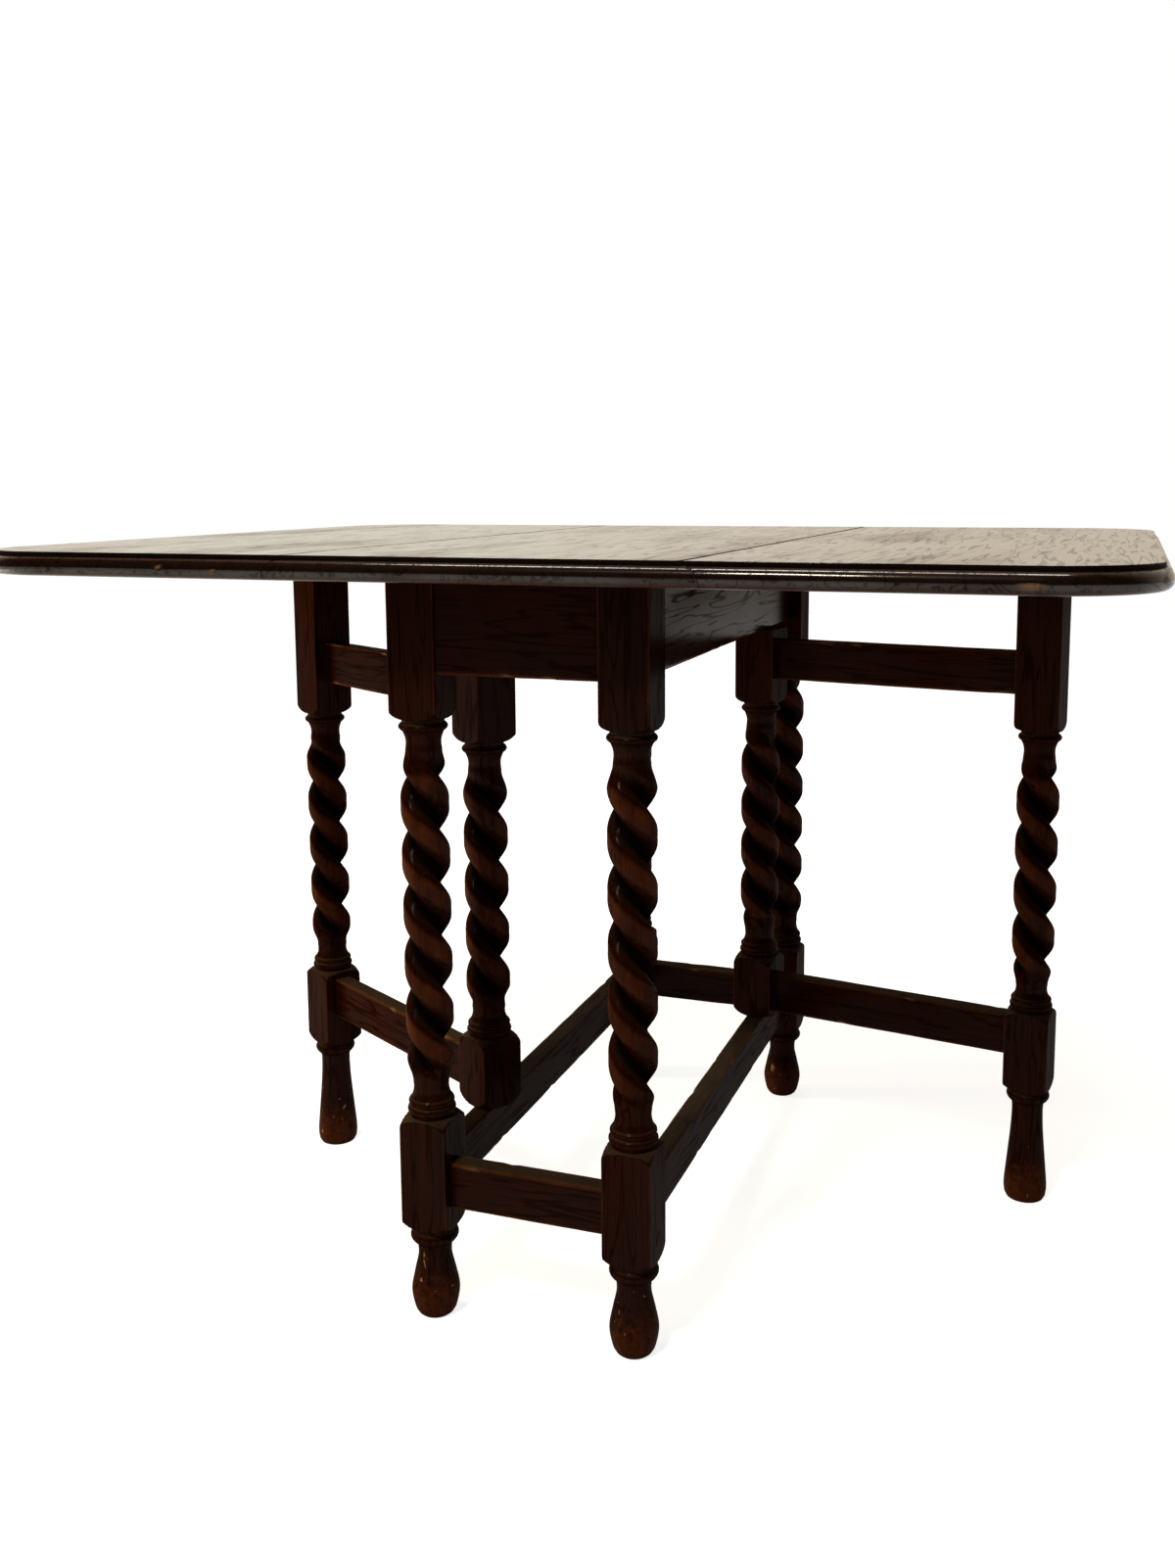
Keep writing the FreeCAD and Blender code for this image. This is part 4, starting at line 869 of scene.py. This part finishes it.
def corner_round(centre, radius, start):
    """Points of a leaf's rounded corner from a start angle on, without the end."""
    angles = [start + math.pi / 2 * number / corner_count for number in range(corner_count)]
    return [(Vector(centre) + radius * Vector((math.cos(angle), math.sin(angle))), 1) for angle in angles]


def middle_plan(rise, inset):
    """The middle board's plan at a height and inset."""
    x = JOINT_HALF + rule_edge(rise, 0.0) - eased(rise) - inset
    y = top_high.y - moulding(rise) - inset
    a, b, c, d = (-x, -y), (x, -y), (x, y), (-x, y)
    plan = straight(a, b, end_count, 1) + straight(b, c, joint_count, 0)
    return plan + straight(c, d, end_count, 1) + straight(d, a, joint_count, 0)


def right_plan(rise, inset):
    """The right leaf's plan at a height and inset."""
    back = moulding(rise) + inset
    inner = JOINT_HALF + rule_edge(rise, RULE_GAP) + eased(rise) + inset
    x = top_high.x - back
    y = top_high.y - back
    radius = CORNER_RADIUS - back
    arc_x = x - radius
    arc_y = y - radius
    plan = straight((inner, -y), (arc_x, -y), leaf_end_count, 1)
    plan += corner_round((arc_x, -arc_y), radius, -math.pi / 2)
    plan += straight((x, -arc_y), (x, arc_y), outer_count, 1)
    plan += corner_round((arc_x, arc_y), radius, 0.0)
    plan += straight((arc_x, y), (inner, y), leaf_end_count, 1)
    return plan + straight((inner, y), (inner, -y), joint_count, 0)


def left_plan(rise, inset):
    """The left leaf's plan, the right one turned over."""
    return [(Vector((-spot.x, spot.y)), moulded) for spot, moulded in right_plan(rise, inset)][::-1]


KNOCK_SPACING_STEPS = 150
KNOCK_LEVELS = (0.0050, 0.0075, 0.0100)
KNOCK_DEPTHS = (0.0003, 0.0010)
KNOCK_WIDTH_STEPS = (0.6, 1.3)
KNOCK_REACH = 0.0019
GOUGE_X = 0.440
GOUGE_LEVEL = 0.0072
GOUGE_DEPTH = 0.0009
GOUGE_WIDTH_STEPS = 2.4
BULGE_LEVEL = 0.009
BULGE_REACH = 0.0045
BULGE_WEAR_SHARE = 0.2
BRINK_REACH = 0.0016
BRINK_WEAR_SHARE = 0.6
BRINK_DIRT_SHARE = 0.3
JOINT_WEAR_SHARE = 0.5
STEP_SHADE_LEVEL = 0.0168
STEP_SHADE_SOFT = 0.001
EDGE_WEAR = 0.0003
EDGE_WAVES = 16.0
RISE_WAVES = 60.0


def top_board(name, side, plan_at, seed):
    """One board of the top: level slices of its plan, with the nicks and rubbed places of its edge and
    painted shade on its step.
    """
    plans = [plan_at(rise, inset) for rise, inset in top_rows]
    around = len(plans[0])
    chance = random.Random(seed)
    knocks = [(chance.randrange(around), chance.choice(KNOCK_LEVELS), chance.uniform(*KNOCK_DEPTHS),
               chance.uniform(*KNOCK_WIDTH_STEPS)) for _ in range(around // KNOCK_SPACING_STEPS)]
    if side > 0:
        gouge_step = round((GOUGE_X - JOINT_HALF) / EDGE_STEP)
        knocks.append((gouge_step, GOUGE_LEVEL, GOUGE_DEPTH, GOUGE_WIDTH_STEPS))
    points, grain = np.zeros((2, len(top_rows), around, 3))
    arris, chips, hollow = np.zeros((3, len(top_rows), around, 1))
    centre = Vector((side * (JOINT_HALF + top_high.x) / 2, 0.0))
    for row, ((rise, inset), plan) in enumerate(zip(top_rows, plans)):
        bulge = max(0.0, 1 - abs(rise - BULGE_LEVEL) / BULGE_REACH)
        brink = max(0.0, 1 - (abs(rise - thickness) + inset) / BRINK_REACH)
        joint = 1.0 if brink > BRINK_DIRT_SHARE else 0.0
        # Painted shade: the band from the top of the thumb moulding up the face of the step is darkened.
        painted_step_shade = max(0.0, min(1.0, (rise - STEP_SHADE_LEVEL) / STEP_SHADE_SOFT, (thickness - rise) / STEP_SHADE_SOFT))
        rubbed = max(bulge * BULGE_WEAR_SHARE, brink * BRINK_WEAR_SHARE)
        for step, (spot, moulded) in enumerate(plan):
            depth = 0.0
            if moulded and inset <= BRINK_INSETS[0]:
                for place, level, deep, wide in knocks:
                    gap = min(abs(step - place), around - abs(step - place)) / wide
                    drop = abs(rise - level) / KNOCK_REACH
                    if gap < 1 and drop < 1:
                        hit = (1 - gap * gap) * (1 - drop * drop)
                        depth = max(depth, deep * hit)
                        chips[row, step, 0] = max(chips[row, step, 0], hit)
                travel = Vector((*(spot * EDGE_WAVES), seed + rise * RISE_WAVES))
                depth += EDGE_WEAR * max(0.0, noise.noise(travel)) * (bulge + brink)
            flat = spot + (centre - spot).normalized() * depth
            points[row, step] = (flat.x, flat.y, top_under + rise)
            grain[row, step] = (flat.y + seed, flat.x, rise)
            arris[row, step, 0] = rubbed * (1.0 if moulded else JOINT_WEAR_SHARE)
            # The hollow value is painted shade on the step, and a dark joint line along the rule joint.
            hollow[row, step, 0] = painted_step_shade if moulded else joint
    rings = {"points": points, "grain": grain, "arris": arris, "chip": chips, "hollow": hollow}
    return board(name, [rings], top_oak)


TOP_SEED = 11.0
TOP_SEED_STEP = 3.1
TOP_BOARDS = (
    ("middle_top", 0, middle_plan, "frame", "centre_top_board"),
    ("moulded_left_leaf", -1, left_plan, "left_leaf", "left_leaf"),
    ("moulded_right_leaf", 1, right_plan, "right_leaf", "right_leaf"),
)
for number, (name, side, plan_at, body, node) in enumerate(TOP_BOARDS):
    owned(top_board(name, side, plan_at, TOP_SEED + TOP_SEED_STEP * number), body, "top_oak", node)


# Metalwork
# Iron table hinges, a short and a long flap on a steel pin, let in flush under the rule joints, and the
# slotted iron wood screws that hold the hinges, the gate stops and the middle board.
IRON_DARK = stain(44, 40, 36)
IRON_BRIGHT = stain(122, 116, 106)
IRON_RUST = stain(78, 48, 30)
RUST_DEPTH = 0.0002


def iron(name, rough):
    """Old iron, dull and browned in patches."""
    material = bpy.data.materials.new(name)
    wires = emptied(material)
    spot = wires.node("ShaderNodeTexCoord", out="Object")
    patches = wires.node("ShaderNodeTexNoise", {}, {"Vector": spot, "Scale": 140.0, "Detail": 5.0})
    specks = wires.node("ShaderNodeTexNoise", {}, {"Vector": spot, "Scale": 900.0, "Detail": 3.0})
    rust = (patches * 0.8 + specks * 0.3).ramp(0.58, 0.74)
    colour = blended(specks.ramp(0.3, 0.7), IRON_DARK, IRON_BRIGHT)
    colour = blended(rust, colour, IRON_RUST)
    pitted = {"Strength": 0.4, "Distance": RUST_DEPTH, "Height": specks + rust}
    inputs = {"Base Color": colour, "Metallic": 1 - 0.8 * rust, "Roughness": rough + 0.3 * rust,
              "Normal": wires.node("ShaderNodeBump", {}, pitted)}
    shader = wires.node("ShaderNodeBsdfPrincipled", {}, inputs)
    wires.node("ShaderNodeOutputMaterial", {}, {"Surface": shader})
    return material


def finish(node, material):
    """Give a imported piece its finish."""
    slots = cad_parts[node].data.materials
    slots.clear()
    slots.append(material)


hinge_iron = iron("hinge_iron", 0.42)
for word in ("left", "right"):
    for kind in ("top_flaps", "leaf_flaps", "pins"):
        finish("%s_hinge_%s" % (word, kind), hinge_iron)

screw_iron = iron("screw_iron", 0.36)
SCREW_SIZES = {"Head radius": 0.0034, "Head height": 0.0017, "Shank radius": 0.0017, "Slot width": 0.0009,
               "Slot depth": 0.0008}
SCREW_POINTS = 32
SLOT_TURN = 2.4
SLOT_OVERRUN_SHARE = 3.0


def slotted_screws():
    """The tree that drives a countersunk slotted screw upward at every point of a mesh."""
    inputs = {"Places": "Geometry", **dict.fromkeys(SCREW_SIZES, "Float")}
    inputs.update({"Length": "Float", "Finish": "Material"})
    tree, given, identifiers = node_group("slotted_screws", inputs)
    wires = Wire(tree)
    head = wires.node("GeometryNodeMeshCone", {}, {
        "Vertices": SCREW_POINTS, "Radius Top": given["Shank radius"],
        "Radius Bottom": given["Head radius"], "Depth": given["Head height"]})
    # The cutter's middle lies in the face of the head, so half of it cuts.
    wide = wires.node("ShaderNodeCombineXYZ", {}, {
        "X": given["Head radius"] * SLOT_OVERRUN_SHARE, "Y": given["Slot width"],
        "Z": given["Slot depth"] * 2})
    slot = wires.node("GeometryNodeMeshCube", {}, {"Size": wide})
    cut = {"Mesh 1": head, "Mesh 2": slot}
    head = wires.node("GeometryNodeMeshBoolean", {"operation": "DIFFERENCE"}, cut)
    run = given["Length"] - given["Head height"]
    shank = wires.node("GeometryNodeMeshCylinder", {}, {
        "Vertices": SCREW_POINTS, "Radius": given["Shank radius"], "Depth": run})
    rise = wires.node("ShaderNodeCombineXYZ", {}, {"Z": given["Head height"] + run * 0.5})
    shank = wires.node("GeometryNodeTransform", {}, {"Geometry": shank, "Translation": rise})
    screw = wires.node("GeometryNodeJoinGeometry", {}, {"Geometry": head})
    tree.links.new(shank.socket, screw.socket.node.inputs["Geometry"])
    turn = wires.node("ShaderNodeCombineXYZ", {}, {"Z": wires.node("GeometryNodeInputIndex") * SLOT_TURN})
    geometry = wires.node("GeometryNodeInstanceOnPoints", {}, {
        "Points": given["Places"], "Instance": screw, "Rotation": turn})
    close_group(tree, geometry, given["Finish"])
    return tree, identifiers


screw_tree, screw_inputs = slotted_screws()


def screwed(node, body, places, level, length):
    """A row of screws with their heads at one level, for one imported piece."""
    mesh = bpy.data.meshes.new("slotted_" + node)
    mesh.from_pydata([(place.x, place.y, level) for place in places], [], [])
    values = {**SCREW_SIZES, "Length": length, "Finish": screw_iron}
    piece = applied(added(mesh.name, mesh), screw_tree, screw_inputs, values)
    owned(piece, body, "screw_steel", node)


TOP_SCREW_LENGTH = 0.038
STOP_SCREW_LENGTH = 0.022
HINGE_SCREW_LENGTH = 0.014
HINGE_SCREW_PITCH = 0.017
HINGE_OFFSET = 0.255
glue_middles = [start + direction * GLUE_LENGTH / 2 for start, direction in glue_places]
screwed("top_fixing_screws", "frame", glue_middles, glue_low, TOP_SCREW_LENGTH)
for word in ("left", "right"):
    screwed(word + "_gate_stop_screws", word + "_leaf", stop_screws[word], stop_low, STOP_SCREW_LENGTH)
    for kind, body in (("top", "frame"), ("leaf", word + "_leaf")):
        node = "%s_hinge_%s_screws" % (word, kind)
        low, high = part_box(node)
        places = [Vector(((low.x + high.x) / 2, end * HINGE_OFFSET + step * HINGE_SCREW_PITCH, 0.0))
                  for end in (-1, 1) for step in (-1, 0, 1)]
        screwed(node, body, places, low.z, HINGE_SCREW_LENGTH)


# Studio
# A plain pale floor in a white room. Soft light comes mostly from behind, as from a wide window, with a
# soft lamp low at the left, a small one high in front and a strip overhead along the near edge.
FLOOR_HALF = 7.0
FLOOR_TONE = stain(226, 225, 222)
FLOOR_GLOW = 0.82
FLOOR_GLOW_RISE = 0.16
FLOOR_GLOW_NEAR = 0.6
FLOOR_GLOW_FAR = 1.8
WHITE = (1.0, 1.0, 1.0, 1.0)
floor_corners = [(sx * FLOOR_HALF, sy * FLOOR_HALF, 0) for sx, sy in ((-1, -1), (1, -1), (1, 1), (-1, 1))]
floor_mesh = bpy.data.meshes.new("floor")
floor_mesh.from_pydata(floor_corners, [], [(0, 1, 2, 3)])
floor = added("floor", floor_mesh)
floor_paint = bpy.data.materials.new("floor_paint")
wires = emptied(floor_paint)
seen = wires.node("ShaderNodeLightPath", out="Is Camera Ray")
seen = (seen + seen.other("Is Glossy Ray") + seen.other("Is Transmission Ray")).held()
x = wires.node("ShaderNodeTexCoord", out="Object").axis("X")
y = x.other("Y")
away = (x * x + y * y).math("SQRT").ramp(FLOOR_GLOW_NEAR, FLOOR_GLOW_FAR)
matt = wires.node("ShaderNodeBsdfDiffuse", {}, {"Color": FLOOR_TONE})
glow_level = seen * (FLOOR_GLOW + FLOOR_GLOW_RISE * away)
glow = wires.node("ShaderNodeEmission", {}, {"Color": WHITE, "Strength": glow_level})
both = wires.node("ShaderNodeAddShader", {}, {0: matt, 1: glow})
wires.node("ShaderNodeOutputMaterial", {}, {"Surface": both})
floor_mesh.materials.append(floor_paint)

FRONT_LEVEL = 0.04
BACK_LEVEL = 0.8
BACK_SPREAD = (-0.1, 0.9)
RIGHT_DIMMING = 0.38
RIGHT_SPREAD = (-0.65, 0.0)
FRONT_TINT = (1.0, 0.74, 0.54, 1.0)
BACK_TINT = (1.0, 0.96, 0.81, 1.0)
world = bpy.data.worlds.new("studio")
bpy.context.scene.world = world
wires = emptied(world)
toward = wires.node("ShaderNodeTexCoord", out="Generated").axis("Y")
back = toward.ramp(*BACK_SPREAD) * (1 - RIGHT_DIMMING * toward.other("X").ramp(*RIGHT_SPREAD))
ray = wires.node("ShaderNodeLightPath", out="Is Camera Ray")
reflected = (ray.other("Is Glossy Ray") + ray.other("Is Transmission Ray")).held()
level = FRONT_LEVEL + (BACK_LEVEL - FRONT_LEVEL) * back
white = (ray + reflected * back).held()
strength = level + white * (1 - level)
colour = blended(ray, blended(back, FRONT_TINT, BACK_TINT), WHITE)
sky = wires.node("ShaderNodeBackground", {}, {"Color": colour, "Strength": strength})
wires.node("ShaderNodeOutputWorld", {}, {"Surface": sky})

# Each lamp's name, place, aim, face, power and tint, and whether the polish mirrors it.
LAMPS = (
    ("left_key", (-2.4, -0.35, 0.55), (0.0, 0.0, 0.45), (0.8, 0.8), 46.0, (1.0, 0.93, 0.6), False),
    ("front_high", (-0.3, -2.1, 2.6), (0.0, 0.0, 0.45), (0.34, 0.34), 36.0, (1.0, 0.88, 0.7), True),
    ("overhead", (-0.1, -0.33, 2.4), (-0.1, 0.0, 0.45), (1.8, 0.26), 36.0, (1.0, 0.95, 0.86), True),
)
for name, place, aim, face, power, tint, mirrored in LAMPS:
    lamp = bpy.data.lights.new(name, "AREA")
    lamp.shape = "RECTANGLE"
    lamp.size = face[0]
    lamp.size_y = face[1]
    lamp.energy = power
    lamp.color = tint
    holder = added(name, lamp)
    holder.location = place
    holder.rotation_euler = (Vector(aim) - Vector(place)).to_track_quat("-Z", "Y").to_euler()
    holder.visible_glossy = mirrored


# Camera
# A little above the level of the top, right of the near end, as the photograph was taken. Place, turn and
# lens were fitted to the photograph, and the shift puts the lens's axis on the pixel where it lay.
IMAGE_WIDTH = 1200
IMAGE_HEIGHT = 1601
FOCAL_PIXELS = 1471.56
AXIS_PIXEL = (628.16, 688.85)
SENSOR = 36.0
CAMERA_PLACE = Vector((0.50573, -1.48145, 0.80167))
CAMERA_YAW = math.radians(19.58)
CAMERA_PITCH = math.radians(7.67)
CAMERA_ROLL = math.radians(-0.31)
view = bpy.data.cameras.new("view")
view.sensor_width = SENSOR
view.lens = FOCAL_PIXELS / IMAGE_HEIGHT * SENSOR
view.shift_x = (IMAGE_WIDTH / 2 - AXIS_PIXEL[0]) / IMAGE_HEIGHT
view.shift_y = (AXIS_PIXEL[1] - IMAGE_HEIGHT / 2) / IMAGE_HEIGHT
camera = added("view", view)
turned = Matrix.Rotation(CAMERA_YAW, 4, "Z") @ Matrix.Rotation(math.pi / 2 - CAMERA_PITCH, 4, "X")
turned = turned @ Matrix.Rotation(CAMERA_ROLL, 4, "Z")
camera.matrix_world = Matrix.Translation(CAMERA_PLACE) @ turned
bpy.context.scene.camera = camera
bpy.context.scene.view_settings.view_transform = "Standard"
